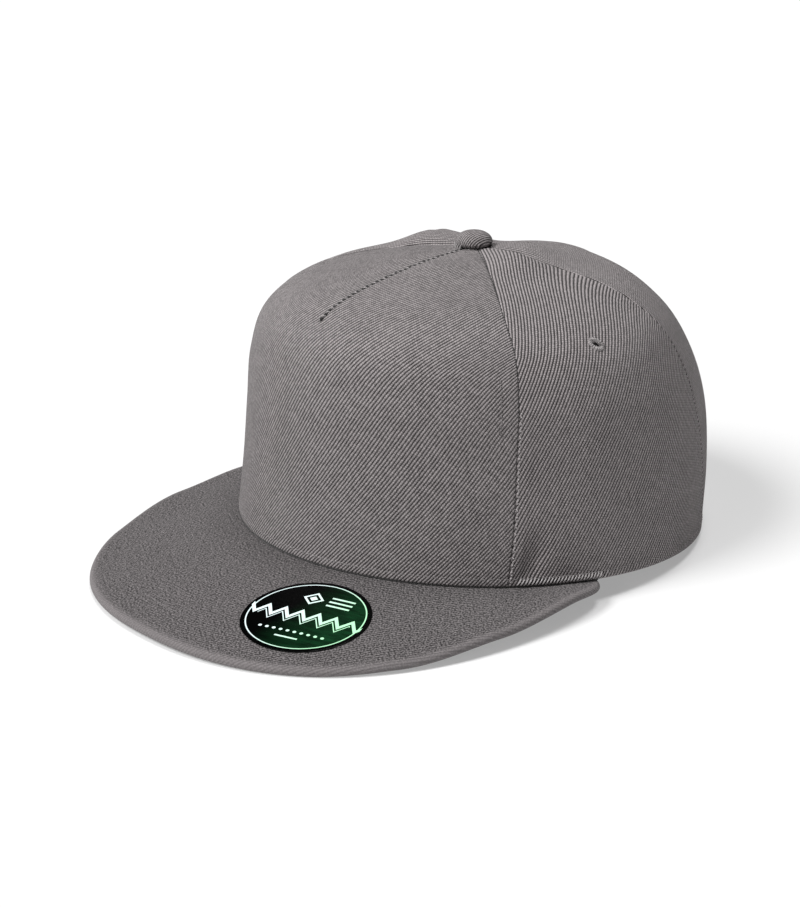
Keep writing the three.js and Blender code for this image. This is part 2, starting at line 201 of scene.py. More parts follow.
def crown(angle, share):
    """Outer face of the crown in mm. An oval whose width and depth come from the tables, raised
    by the rise table, plus a bulge between each panel's seams where the wall becomes the roof
    and a few soft spots, bells of a height in mm at an angle and a share."""
    angle, share = np.broadcast_arrays(np.asarray(angle, float), np.asarray(share, float))
    turn = np.radians(angle)
    ahead = np.cos(turn) > 0
    rise = smooth_column(RISE, share)
    rim_deep = np.where(ahead, FRONT_DEPTH, BACK_DEPTH)
    deep = rim_deep * np.where(ahead, smooth_column(FRONT, share), smooth_column(BACK, share))
    raised = rise * CROWN_HEIGHT + rim_height(-rim_deep * np.cos(turn)) * (1 - rise)
    wide = HALF_WIDTH * smooth_column(SIDE, share)
    plain = np.stack([wide * np.sin(turn), -deep * np.cos(turn), raised], -1)
    signed = np.where(angle > 180, angle - 360, angle)
    around = np.abs(signed)
    first, second = seam_angle(FRONT_SEAM, share), seam_angle(BACK_SEAM, share)
    across = np.select([around <= first, around <= second],
                       [around / first, (around - first) / (second - first)],
                       (around - second) / (180 - second))
    size = np.select([around <= first, around <= second], BULGES[:2], BULGES[2])
    bulge = size * np.sin(np.pi * across) * np.exp(-((share - BULGE_SHARE) / BULGE_SPREAD) ** 2)
    for height, place, level, spread, climb in SOFT_SPOTS:
        away = ((signed - place) / spread) ** 2 + ((share - level) / climb) ** 2
        bulge = bulge + height * np.exp(-away)
    outward = plain - BULGE_CENTRE
    return plain + outward / np.linalg.norm(outward, axis=-1, keepdims=True) * bulge[..., None]


def crown_normal(angle, share):
    """Outward direction: the cross product of a short step round the crown and one up it."""
    share = np.clip(share, 0.004, 0.99)
    round_step = crown(angle + 0.5, share) - crown(angle - 0.5, share)
    up_step = crown(angle, share + 0.003) - crown(angle, share - 0.003)
    normal = np.cross(round_step, up_step)
    return normal / np.linalg.norm(normal, axis=-1, keepdims=True)


print("crown's top and front rim:", crown(0, 1).round(1), crown(0, 0).round(1))
rim_line = crown(np.linspace(0, 360, 721), 0)
print("round the rim:", round(np.linalg.norm(np.diff(rim_line, axis=0), axis=1).sum()), "mm")

# %% [markdown]
# ## From numbers to a mesh
# Blender keeps a mesh as lists of corners, loops and faces, and foreach_set fills each list from
# an array in one go. A sewn piece is a closed shell: a grid whose rows run up the outside, over
# its edge and down the inside. Each piece also carries a UV map in millimetres of cloth, and the
# ribs follow that map as they follow the real cloth.

# %% Helpers that make a piece
PIECES = []


def make_piece(name, points, faces, flat, finish, replaced=()):
    """Mesh from points in mm, a list of face arrays and a UV per point, which rides on root."""
    mesh = bpy.data.meshes.new(name)
    loops = np.concatenate([block.ravel() for block in faces])
    counts = np.concatenate([np.full(len(block), block.shape[1]) for block in faces])
    placed = (points + [0, SHIFT_Y, 0]) * MM
    mesh.vertices.add(len(points))
    mesh.vertices.foreach_set("co", placed.ravel())
    mesh.loops.add(len(loops))
    mesh.loops.foreach_set("vertex_index", loops)
    mesh.polygons.add(len(counts))
    mesh.polygons.foreach_set("loop_start", np.r_[0, np.cumsum(counts)[:-1]])
    mesh.update(calc_edges=True)
    mesh.uv_layers.new(name="cloth").data.foreach_set("uv", flat[loops].ravel())
    mesh.shade_smooth()
    mesh.materials.append(finish)
    piece = bpy.data.objects.new(name, mesh)
    bpy.context.scene.collection.objects.link(piece)
    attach(piece, "root")
    if replaced:
        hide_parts(*replaced)
    PIECES.append(piece)
    print(name, len(points), "points,", len(counts), "faces")
    return piece


def outward_faces(points, faces):
    """Turns every face if the shell's signed volume, the sum of p0 . (p1 x p2), is negative."""
    volume = 0.0
    for block in faces:
        for last in range(2, block.shape[1]):
            a, b, c = points[block[:, 0]], points[block[:, last - 1]], points[block[:, last]]
            volume += np.einsum("ij,ij->", a, np.cross(b, c))
    return [block[:, ::-1] for block in faces] if volume < 0 else faces


def closed_wall(rows, hole=None):
    """Faces of a grid whose first half of rows lies outside and whose second half comes back
    inside. Row k faces row last - k, so the ends of the rows close with quads between them.
    hole marks the outer cells that are left out with the inner ones opposite."""
    count, width = rows.shape[:2]
    number = np.arange(count * width).reshape(count, width)
    following = np.roll(number, -1, axis=0)
    cells = np.stack([number[:, :-1], number[:, 1:], following[:, 1:], following[:, :-1]], -1)
    ends = np.arange(count // 2 - 1)
    opposite = count - 1 - ends
    start = number[np.stack([ends, ends + 1, opposite - 1, opposite], -1), 0]
    stop = number[np.stack([ends, opposite, opposite - 1, ends + 1], -1), -1]
    if hole is None:
        return [cells.reshape(-1, 4), start, stop]
    kept = np.ones(cells.shape[:2], bool)
    kept[:len(hole)][hole] = False
    kept[count - 1 - len(hole):count - 1][hole[::-1]] = False
    return [cells[kept], start, stop, hole_walls(number, hole)]


def hole_walls(number, hole):
    """Quads through the wall round the left-out cells, one for each edge where a left-out
    cell meets a kept one."""
    padded = np.pad(hole, 1)
    inner = number[::-1]
    walls = []
    # Where the neighbour lies in the padded array, and both corners of the edge between them
    sides = [
        ((0, 1), (0, 0), (0, 1)),
        ((2, 1), (1, 1), (1, 0)),
        ((1, 0), (1, 0), (0, 0)),
        ((1, 2), (0, 1), (1, 1)),
    ]
    for (down, right), first, second in sides:
        beside = padded[down:down + hole.shape[0], right:right + hole.shape[1]]
        row, column = np.nonzero(hole & ~beside)
        a, b = (row + first[0], column + first[1]), (row + second[0], column + second[1])
        walls.append(np.stack([number[b], number[a], inner[a], inner[b]], -1))
    return np.concatenate(walls)


def make_wall(name, rows, flat, finish, replaced=(), hole=None):
    """Piece from the rows of a closed wall."""
    points = rows.reshape(-1, 3)
    faces = outward_faces(points, closed_wall(rows, hole))
    return make_piece(name, points, faces, flat, finish, replaced)


def tube_faces(number):
    """Quads round tubes whose point numbers run over rings and sides, and a cap at each end."""
    sides = number.shape[-1]
    beside = np.roll(number, -1, axis=-1)
    low, high = np.s_[..., :-1, :], np.s_[..., 1:, :]
    quads = np.stack([number[low], beside[low], beside[high], number[high]], -1).reshape(-1, 4)
    caps = [number[..., 0, ::-1].reshape(-1, sides), number[..., -1, :].reshape(-1, sides)]
    return [quads, np.concatenate(caps)]


def pointed_shell(rows):
    """Points and faces of rings whose first and last ring are single points."""
    body = rows[1:-1].reshape(-1, 3)
    points = np.vstack([body, rows[0, 0], rows[-1, 0]])
    number = np.arange(len(body)).reshape(-1, rows.shape[1])
    beside = np.roll(number, -1, axis=1)
    quads = np.stack([number[:-1], beside[:-1], beside[1:], number[1:]], -1).reshape(-1, 4)
    first = np.stack([np.full(rows.shape[1], len(body)), beside[0], number[0]], -1)
    last = np.stack([np.full(rows.shape[1], len(body) + 1), number[-1], beside[-1]], -1)
    return points, [quads, first, last]


def crowded(count, places, reach, gain):
    """count + 1 shares from 0 to 1 whose steps shrink near some places: the density is 1 plus
    a gain times a bell round each place, and its running sum is shared out evenly."""
    fine = np.linspace(0, 1, 4001)
    density = 1 + gain * sum(np.exp(-((fine - place) / reach) ** 2) for place in places)
    total = np.r_[0, np.cumsum(density[1:] + density[:-1])]
    return np.interp(np.linspace(0, 1, count + 1), total / total[-1], fine)


def lengths(points, axis):
    """Running length along one axis of a grid of points, from 0 at its start."""
    steps = np.linalg.norm(np.diff(points, axis=axis), axis=-1)
    return np.insert(np.cumsum(steps, axis=axis), 0, 0, axis=axis)


def at_lengths(values, length, wanted):
    """Rows of values read off at wanted lengths, where length is the one of each row."""
    return np.stack([np.interp(wanted, length, column) for column in values.T], -1)


def smoothed(values, reach):
    """Mean of each value and its neighbours up to a reach away on both sides."""
    width = 2 * reach + 1
    return np.convolve(np.pad(values, reach, "edge"), np.ones(width) / width, "valid")


# %% [markdown]
# ## The twill
# The cloth is a heavy grey twill. Its ribs are about 1.2 mm apart, and each one is a row of short
# yarn floats. Real ridges would need far too many faces, so a material makes them. The UV map
# runs across the ribs in x and along them in y, in millimetres. A cosine makes a round rib,
# another one makes the floats, and noise gives the mixed light and dark fibres. The same
# relief is also painted into the colour as painted shade, darker in the grooves.

# %% Small helpers for node materials
def new_finish(name):
    """A material and its node tree, with only its output and Principled shader in it."""
    finish = bpy.data.materials.new(name)
    finish.use_nodes = True
    return finish, finish.node_tree


def feed(tree, socket, value):
    """Links an input to another node's output, or gives it a plain value."""
    if isinstance(value, bpy.types.NodeSocket):
        tree.links.new(value, socket)
    else:
        socket.default_value = value


def put(tree, kind, settings=None, **inputs):
    """New node. settings are its own options, and inputs are values or sockets by input name,
    or by i and a number."""
    node = tree.nodes.new(kind)
    for key, value in (settings or {}).items():
        setattr(node, key, value)
    for key, value in inputs.items():
        by_number = key[0] == "i" and key[1:].isdigit()
        feed(tree, node.inputs[int(key[1:]) if by_number else key], value)
    return node


def cloth_place(tree):
    """The piece's own UV map, and its x and y as single numbers."""
    place = put(tree, "ShaderNodeUVMap", {"uv_map": "cloth"}).outputs[0]
    parts = put(tree, "ShaderNodeSeparateXYZ", Vector=place)
    return place, parts.outputs[0], parts.outputs[1]


def calc(tree, operation, first, second=0.0, third=0.0):
    """Result of one Math node on two or three values or sockets."""
    node = put(tree, "ShaderNodeMath", {"operation": operation}, i0=first, i1=second, i2=third)
    return node.outputs[0]


def noise(tree, vector, scale, detail=2.0, rough=0.5):
    """Grey noise from 0 to 1 at a scale."""
    node = put(tree, "ShaderNodeTexNoise", Vector=vector, Scale=scale, Detail=detail, Roughness=rough)
    return node.outputs[0]


def between(tree, value, low, high, new_low=0.0, new_high=1.0):
    """A value carried from one range to another, and held at the ends."""
    node = put(tree, "ShaderNodeMapRange", i0=value, i1=low, i2=high, i3=new_low, i4=new_high)
    return node.outputs[0]


def mixed(tree, factor, first, second):
    """Colour between two colours by a factor."""
    first, second = [(*value, 1) if isinstance(value, tuple) else value for value in (first, second)]
    node = put(tree, "ShaderNodeMix", {"data_type": "RGBA"}, i0=factor, i6=first, i7=second)
    return node.outputs[2]


def dress(finish, colour, height, depth, **settings):
    """Gives the shader its colour, a relief that is some mm deep and other inputs by name."""
    tree = finish.node_tree
    shader = tree.nodes["Principled BSDF"].inputs
    bump = put(tree, "ShaderNodeBump", Height=height, Distance=depth * MM)
    feed(tree, shader["Base Color"], colour)
    feed(tree, shader["Normal"], bump.outputs[0])
    for key, value in settings.items():
        feed(tree, shader[key.replace("_", " ")], value)
    print(finish.name, "has", len(tree.nodes), "nodes")
    return finish


# %% The twill finish
RIB_PITCH, FLOAT_LENGTH = 1.22, 1.05


def twill(name, light, dark, depth, ribbing=1.0, grain=1.0, yarns=0.15, edge_highlight=0.0,
          fibres=(2.6, 1.6)):
    """Ribs: height is |cos| across them. Floats: |cos| along each rib, half a float further on
    every next rib. Every float has its own tone, and fibre noise is stretched along the ribs.
    The same relief also darkens the colour in the grooves, which is painted shade. ribbing is how
    much the ribs count, in the bump and in the painted shade, grain how much the fibres do, and
    yarns how much tone changes from float to float. Where the attribute edge is 1, the ribs count
    more, and a painted highlight makes the cloth paler by an amount given as an argument. fibres
    is the scale of their noise across the ribs and along them."""
    finish, tree = new_finish(name)
    cloth, x, y = cloth_place(tree)
    wander = calc(tree, "MULTIPLY", noise(tree, cloth, 0.4, 2.0), 0.28)
    ribs = calc(tree, "DIVIDE", calc(tree, "ADD", x, wander), RIB_PITCH)
    rib = calc(tree, "ABSOLUTE", calc(tree, "COSINE", calc(tree, "MULTIPLY", ribs, np.pi)))
    row = calc(tree, "ROUND", ribs)
    runs = calc(tree, "MULTIPLY_ADD", row, 0.5, calc(tree, "DIVIDE", y, FLOAT_LENGTH))
    run = calc(tree, "ABSOLUTE", calc(tree, "COSINE", calc(tree, "MULTIPLY", runs, np.pi)))
    which = put(tree, "ShaderNodeCombineXYZ", X=row, Y=calc(tree, "ROUND", runs)).outputs[0]
    yarn = put(tree, "ShaderNodeTexWhiteNoise", {"noise_dimensions": "2D"}, Vector=which).outputs[0]
    fibre_place = put(tree, "ShaderNodeMapping", Vector=cloth, Scale=(*fibres, 1)).outputs[0]
    fibre = noise(tree, fibre_place, 1.0, 2.0, 0.6)
    patch = noise(tree, cloth, 0.05, 3.0, 0.5)
    relief = calc(tree, "MULTIPLY", rib, calc(tree, "MULTIPLY_ADD", run, 0.35, 0.65))
    if edge_highlight:
        edge = put(tree, "ShaderNodeAttribute", {"attribute_name": "edge"}).outputs["Fac"]
        ribbing = calc(tree, "MULTIPLY_ADD", edge, 0.5, ribbing)
    # Painted shade: the rib and float relief darkens the colour in the grooves.
    lit = calc(tree, "MULTIPLY_ADD", calc(tree, "SUBTRACT", relief, 0.55), ribbing, 0.55)
    speckled = calc(tree, "MULTIPLY_ADD", calc(tree, "SUBTRACT", yarn, 0.5), yarns, lit)
    fuzzy = calc(tree, "MULTIPLY_ADD", calc(tree, "SUBTRACT", fibre, 0.5), 0.6 * grain, speckled)
    tone = calc(tree, "MULTIPLY_ADD", calc(tree, "SUBTRACT", patch, 0.5), 0.12, fuzzy)
    plain = mixed(tree, between(tree, tone, 0.12, 1.2), dark, light)
    # Painted highlight: where the attribute edge is 1, the colour is mixed towards the light one.
    if edge_highlight:
        plain = mixed(tree, calc(tree, "MULTIPLY", edge, edge_highlight), plain, light)
    lint = between(tree, noise(tree, cloth, 0.8, 1.0), 0.77, 0.82, 0.0, 0.5)
    colour = mixed(tree, lint, plain, (0.42, 0.41, 0.41))
    height = calc(tree, "MULTIPLY_ADD", fibre, 0.3 * grain, calc(tree, "MULTIPLY", relief, ribbing))
    rough = between(tree, fibre, 0.2, 0.8, 0.82, 0.97)
    return dress(finish, colour, height, depth, Roughness=rough, Specular_IOR_Level=0.25,
                 Sheen_Weight=0.12, Sheen_Roughness=0.5)


TWILL = twill("grey_twill", (0.45, 0.41, 0.413), (0.012, 0.01, 0.01), depth=0.55)
FRONT_TWILL = twill("front_twill", (0.39, 0.357, 0.359), (0.016, 0.014, 0.014), depth=0.42,
                    ribbing=0.95, grain=1.6, yarns=0.24)

# %% [markdown]
# ## Thread
# Stitches are short runs of thread that dip into the cloth at both ends. Many of them go into
# one mesh, so the scene stays light. Thread is made from twisted strands, so its material has
# fine slanting lines along each run.

# %% Thread finish and a function that lays many short runs
def thread_finish(name, light, dark, fuzz_scale=2.5):
    """Twisted thread: a wave across and along the run gives the slanting strands."""
    finish, tree = new_finish(name)
    place, x, y = cloth_place(tree)
    slant = calc(tree, "MULTIPLY_ADD", x, 9.0, calc(tree, "MULTIPLY", y, 6.3))
    strand = calc(tree, "ABSOLUTE", calc(tree, "SINE", slant))
    fuzz = noise(tree, place, fuzz_scale, 2.0)
    tone = calc(tree, "MULTIPLY", strand, between(tree, fuzz, 0.3, 0.7, 0.45, 1.1))
    colour = mixed(tree, tone, dark, light)
    return dress(finish, colour, strand, 0.05, Roughness=0.7, Sheen_Weight=0.2)


THREAD = thread_finish("grey_thread", (0.33, 0.31, 0.31), (0.12, 0.11, 0.11))
PALE = thread_finish("pale_thread", (0.6, 0.57, 0.57), (0.2, 0.185, 0.185))


def lay_threads(name, start, end, out, radius, rise, finish=THREAD):
    """Many short threads as one mesh. A point is start + (end - start) t, lifted along the
    outward direction by rise times the root of sin(pi t), less a radius so that the ends sink
    in, with a ring round it that is narrower at both ends."""
    rings, sides = 7, 6
    t = np.linspace(0, 1, rings)
    arch = np.sqrt(np.sin(np.pi * t).clip(0))
    along = (end - start) / np.linalg.norm(end - start, axis=1, keepdims=True)
    aside = np.cross(along, out)
    middle = start[:, None] + (end - start)[:, None] * t[:, None]
    middle = middle + out[:, None] * (arch * (rise + radius) - radius)[:, None]
    turn = np.linspace(0, 2 * np.pi, sides, endpoint=False)
    thick = radius * (0.55 + 0.45 * arch)[:, None, None]
    ring = aside[:, None, None] * np.cos(turn)[:, None] + out[:, None, None] * np.sin(turn)[:, None]
    points = (middle[:, :, None] + ring * thick).reshape(-1, 3)
    which = np.arange(len(start))[:, None, None]
    number = np.arange(len(points)).reshape(-1, rings, sides)
    run = np.linalg.norm(end - start, axis=1)[:, None, None] * t[:, None] + which * 3.7
    flat = np.stack(np.broadcast_arrays(run, turn), -1).reshape(-1, 2)
    make_piece(name, points, outward_faces(points, tube_faces(number)), flat, finish)


def along_line(points, out, run, gap):
    """Starts, ends and outward directions of stitches of a length and gap on a line of points."""
    length = lengths(points, 0)
    first = np.arange(0, length[-1] - run, run + gap)
    middle = at_lengths(out, length, first + run / 2)
    start, end = at_lengths(points, length, first), at_lengths(points, length, first + run)
    return start, end, middle / np.linalg.norm(middle, axis=1, keepdims=True)


# %% [markdown]
# ## The five panels
# A panel is one piece of twill, folded over along each seam, so that its edges roll down into
# a narrow valley. Its grid runs between two seams, closer together near the seams, the hem, the
# dart and the vent hole, where there is more to show. The arch behind is part of the same
# formula: there the columns start on the arch and not on the rim.

# %% One panel as a grid
ROLL, VENT_CUT, HEM_ROW = 0.8, 1.6, 3.4
WAVES, WAVE_HEIGHT = 7, 0.06
ALLOWANCE_WIDTH, ALLOWANCE_RISE, INSIDE_SHIFT = 5, 0.2, 7.3


def fold(distance, radius):
    """Depth below the cloth at a distance from a folded edge: a quarter of a circle."""
    inside = np.clip(1 - distance / radius, 0, 1)
    return radius * (1 - np.sqrt(1 - inside**2 * 0.998))


def gentle_waves(angle, share, seed):
    """Soft unevenness of handled cloth in mm: a sum of slow sines with fixed random phases."""
    rng = np.random.default_rng(seed)
    total = np.zeros(np.broadcast(angle, share).shape)
    for _ in range(WAVES):
        turns, climbs, phase = rng.uniform(2, 7), rng.uniform(2, 6), rng.uniform(0, 2 * np.pi)
        total += np.sin(np.radians(angle) * turns + share * climbs + phase)
    return total * WAVE_HEIGHT


def panel_grid(low_angle, low_share, high_angle, ups, relief, seed, centre_of=None):
    """Rows of a closed panel. Each column runs straight in angle and share from the lower edge
    to the top. Outer rows sink into the folds at both sides and stand a little proud over the
    seam's turned-in cloth and the hem. The hem is a half circle between the outer and inner
    face, and the inner face lies a wall's thickness inside. Returns the rows, each point's
    place on the flat cloth and how fast its row narrows upwards."""
    reach = TOP_SHARE - low_share
    share = low_share + reach * ups[:, None]
    angle = low_angle + (high_angle - low_angle) * ups[:, None]
    face = crown(angle, share)
    up_length = lengths(face, 0)
    normal = crown_normal(angle, share)
    side_length = lengths(face, 1)
    from_seam = np.minimum(side_length, side_length[:, -1:] - side_length)
    sink = fold(from_seam, ROLL) + fold(up_length[-1:] - up_length, ROLL)
    sink = sink - gentle_waves(angle, share, seed) * np.clip(from_seam / 12, 0, 1) - relief(angle, share)
    allowance = ALLOWANCE_RISE / (1 + np.exp((from_seam - ALLOWANCE_WIDTH) / 0.35))
    hem_lip = 0.25 * np.exp(-(((up_length - 1.7) / 1.3) ** 2))
    hem_groove = 0.22 * np.exp(-(((up_length - HEM_ROW) / 0.45) ** 2))
    sink = sink - allowance - (hem_lip - hem_groove)
    half = WALL / 2
    over = (half - up_length).clip(0)
    hem = half - np.sqrt((half**2 - over**2).clip(0))
    outer = face - normal * (sink * np.clip(up_length / 4, 0.2, 1) + hem)[..., None]
    inner = face - normal * (WALL - hem)[..., None]
    rows = np.concatenate([outer[::-1], inner])
    if centre_of is not None:
        return rows, *level_map(angle, share, centre_of)
    middle = side_length.shape[1] // 2
    u = side_length - side_length[:, [middle]]
    v = up_length[:, [middle]]
    reach_each_way = side_length[:, [middle + 1]] - side_length[:, [middle - 1]]
    spread = reach_each_way / (angle[:, [middle + 1]] - angle[:, [middle - 1]])
    turning = smoothed(-np.gradient(np.log(spread[:, 0]), v[:, 0]), 3)[:, None]
    return rows, u, v, turning


def level_map(angle, share, centre_of):
    """Sideways and upward places in mm of points whose rows aren't level: the angle from the
    panel's middle line times the mm in a degree there, and the length of the middle line."""
    level = np.linspace(0, 1, 401)
    centre = centre_of(level)
    rate = np.linalg.norm(crown(centre + 0.5, level) - crown(centre - 0.5, level), axis=1) + 0.002
    climb = lengths(crown(centre, level), 0)
    turning = smoothed(-np.gradient(np.log(rate), climb), 9)
    u = (angle - np.interp(share, level, centre)) * np.interp(share, level, rate)
    return u, np.interp(share, level, climb), np.interp(share, level, turning)


def cloth_map(u, v, turning, lean, pull, follow, close=1.0):
    """UV in mm, with x across the ribs and y along them, where ribs lean by an angle from level.
    A row that narrows upwards is laid out as an arc: u' = sin(k u) / k and
    v' = v + (1 - cos(k u)) / k, where k is how fast the rows narrow, times follow. pull skews
    the cloth sideways with the square of the height, and close packs the ribs closer. The
    inner face has the same map, shifted so that its threads aren't the same."""
    k = np.where(np.abs(turning * follow) < 1e-5, 1e-5, turning * follow)
    u, v = np.sin(k * u) / k + pull * v**2, v + (1 - np.cos(k * u)) / k
    turn = np.radians(lean)
    x, y = u * np.sin(turn) - v * np.cos(turn), u * np.cos(turn) + v * np.sin(turn)
    outer = close * np.stack([x, y], -1)
    return np.concatenate([outer[::-1], outer + INSIDE_SHIFT]).reshape(-1, 2)


def sew_panel(name, low, high, columns, relief, seed, lie, vent=None, finish=TWILL, centre_of=None):
    """Panel between two seams. low and high give the angles and shares of its columns, and lie
    is how the ribs lie on it: lean, pull, follow and close of the cloth map."""
    places = [0.0] if vent is None else [0.0, vent[1]]
    ups = crowded(96, places, reach=0.03, gain=3.5)
    low_angle, low_share = low(columns)
    rows, u, v, turning = panel_grid(low_angle, low_share, high(columns), ups, relief, seed, centre_of)
    hole = None
    if vent is not None:
        centre = crown(vent[0], vent[1])
        outer = rows[:len(ups)]
        cell = (outer[1:, 1:] + outer[:-1, :-1] + outer[1:, :-1] + outer[:-1, 1:]) / 4
        hole = np.linalg.norm(cell - centre, axis=-1) < VENT_CUT
    make_wall(name + "_cloth", rows, cloth_map(u, v, turning, *lie), finish, [name], hole)


# %% [markdown]
# ### Front panel
# The wide front panel has a lining of stiff fabric behind it, so it stands nearly flat. A short
# dart takes up its fullness from the button to the bend of the roof. The dart is a fold in the
# same surface, which gets shallower towards its end.

# %% Front panel
DART_END, DART_FADE, DART_ROLL, DIMPLE = 0.645, 0.09, (0.5, 0.7), 0.7


def arc_from_front(angle, share):
    """Distance round the crown from the middle of the front, in mm, taken as if it were flat."""
    return np.radians(angle) * HALF_WIDTH * smooth_column(SIDE, share)


def front_relief(angle, share):
    """The dart's valley, which gets shallower towards its end, and the dimple there."""
    aside = np.abs(arc_from_front(angle, share))
    taper = np.clip((share - DART_END) / DART_FADE, 0, 1) ** 0.7
    dart = fold(aside, DART_ROLL[0] + DART_ROLL[1] * taper) * taper
    dimple = DIMPLE * np.exp(-((aside / 9) ** 2) - ((share - DART_END) / 0.035) ** 2)
    return -dart - dimple


def front_low(columns):
    """Lower ends of the columns lie on the rim, from one seam to the other."""
    return FRONT_SEAM[0] * (2 * columns - 1), 0 * columns


def front_high(columns):
    """Upper ends of the columns, evenly from one seam's top to the other's."""
    return seam_angle(FRONT_SEAM, TOP_SHARE) * (2 * columns - 1)


FRONT_LIE = (49, 0.0023, 0.3, 1.1)
front_columns = crowded(170, [0, 0.5, 1], reach=0.012, gain=14)
sew_panel("front_panel", front_low, front_high, front_columns, front_relief, seed=3, lie=FRONT_LIE,
          finish=FRONT_TWILL)

# %% [markdown]
# ### Side panels
# Each side panel is soft twill with a sewn vent hole. The cells of the grid in the hole are left
# out on both faces, and short walls join the two faces round it.

# %% Side panels
VENT_ANGLE, VENT_SHARE = 84.4, 0.577
PULL_DEPTH = 0.5
DENT_ANGLE, DENT_SHARE, DENT_DEPTH = 62.4, 0.055, 1.7
SIDE_LIE = {1: (53.9, 0.0005, 1.67, 0.98), -1: (126.1, -0.0005, 1.67, 0.98)}


def side_relief(angle, share):
    """The cloth is drawn in round the vent hole, and on the left panel a soft dent lies low
    beside the front seam. Both are bells in angle and share, and the dent's leans."""
    away = np.abs(angle) - VENT_ANGLE
    pull = PULL_DEPTH * np.exp(-((away / 5) ** 2) - ((share - VENT_SHARE) / 0.045) ** 2)
    height = share - DENT_SHARE
    across = np.abs(angle) - DENT_ANGLE - 30 * height
    dent = DENT_DEPTH * np.exp(-((across / 2.4) ** 2) - (height / 0.06) ** 2)
    return -pull - dent * (angle > 0)


def sew_side(name, side, seed):
    """side is 1 for the wearer's left, +X, and -1 for the right. Columns run from one seam to the
    other, evenly at each height, and crowd at the seams and where the vent hole is."""
    seams = (FRONT_SEAM, BACK_SEAM) if side > 0 else (BACK_SEAM, FRONT_SEAM)

    def spaced(columns, share):
        start, stop = seam_angle(seams[0], share), seam_angle(seams[1], share)
        return side * (start + (stop - start) * columns)

    def low(columns):
        return spaced(columns, 0), 0 * columns

    def high(columns):
        return spaced(columns, TOP_SHARE)

    start, stop = spaced(np.array([0, 1]), VENT_SHARE)
    across = (side * VENT_ANGLE - start) / (stop - start)
    columns = crowded(130, [0, across, 1], reach=0.02, gain=9)
    vent = (side * VENT_ANGLE, VENT_SHARE)
    sew_panel(name, low, high, columns, side_relief, seed, SIDE_LIE[side], vent)


sew_side("side_panel_left", 1, seed=5)
sew_side("side_panel_right", -1, seed=6)

# %% [markdown]
# ### Back panels
# The two back panels meet in the middle and leave an arched opening below. The lower edge of
# their grid runs along the rim and then up the arch, so the mesh needs no cutting.

# %% Back panels with half of the arch each
ARCH_HALF, ARCH_TOP = 33.0, 43.0
BACK_LIE = (57, 0, 1)


def share_at(height):
    """Share of the way up at which the crown reaches a height, read backwards off the table."""
    fine = np.linspace(0, 1, 2001)
    return np.interp(height, smooth_column(RISE, fine) * CROWN_HEIGHT, fine)


def arch_edge():
    """Half of the arch from its foot to its top as angles and shares: straight up, then round."""
    low = np.linspace(0, ARCH_TOP - ARCH_HALF, 12, endpoint=False)
    turn = np.linspace(0, np.pi / 2, 50)
    x = np.r_[0 * low + ARCH_HALF, ARCH_HALF * np.cos(turn)]
    share = share_at(np.r_[low, ARCH_TOP - ARCH_HALF + ARCH_HALF * np.sin(turn)])
    angle = 180 - np.degrees(np.arcsin(x / (HALF_WIDTH * smooth_column(SIDE, share))))
    return angle, share


def sew_back(name, side, seed):
    """Lower ends of the columns run along the rim and up the arch, evenly by length, and upper
    ends evenly by angle from the seam to the middle behind."""
    arch_angle, arch_share = arch_edge()
    rim = np.linspace(BACK_SEAM[0], arch_angle[0], 40, endpoint=False)
    edge_angle, edge_share = np.r_[rim, arch_angle], np.r_[0 * rim, arch_share]
    length = lengths(crown(edge_angle, edge_share), 0)
    length = length / length[-1]

    def low(columns):
        at = columns if side > 0 else 1 - columns
        return side * np.interp(at, length, edge_angle), np.interp(at, length, edge_share)

    def high(columns):
        at = columns if side > 0 else 1 - columns
        start = seam_angle(BACK_SEAM, TOP_SHARE)
        return side * (start + (180 - start) * at)

    def centre_of(share):
        return side * (180 + seam_angle(BACK_SEAM, share)) / 2

    def no_relief(angle, share):
        return 0 * angle

    columns = crowded(110, [0, 1], reach=0.02, gain=9)
    sew_panel(name, low, high, columns, no_relief, seed, BACK_LIE, centre_of=centre_of)


sew_back("back_panel_left", 1, seed=8)
sew_back("back_panel_right", -1, seed=9)

# %% [markdown]
# ## The peak
# The peak is a stiff board with twill sewn round it. It is ruled by straight lines from the
# joint under the rim to its outline, which is a superellipse in front and runs back under the
# rim at each end. The edge is round, because the cloth is turned over the board there.

# %% Outline of the peak
PEAK_HALF, PEAK_WIDEST, PEAK_THICK, PEAK_END = 96.7, -56.3, 3.4, (86.0, -18.0)
PEAK_POWER = 2 / 2.27
EDGE_SHARE, EDGE_HEIGHT = [0, 0.35, 0.5, 0.7, 0.88, 1], [0.6, -0.3, 0.8, 4.4, 7.2, 4.6]


def peak_outline(share):
    """Half outline by share of its length: in front x = half width times sin to a power and y =
    widest + reach times cos to the same power, then a quarter of an ellipse that ends under
    the rim."""
    turn = np.linspace(0, np.pi / 2, 400)
    x = PEAK_HALF * np.sin(turn) ** PEAK_POWER
    y = PEAK_WIDEST + (TIP_Y - PEAK_WIDEST) * np.cos(turn).clip(0) ** PEAK_POWER
    back_x = PEAK_END[0] + (PEAK_HALF - PEAK_END[0]) * np.cos(turn[1:])
    back_y = PEAK_WIDEST + (PEAK_END[1] - PEAK_WIDEST) * np.sin(turn[1:])
    line = np.stack([np.r_[x, back_x], np.r_[y, back_y]], -1)
    length = lengths(line, 0)
    return at_lengths(line, length, share * length[-1])


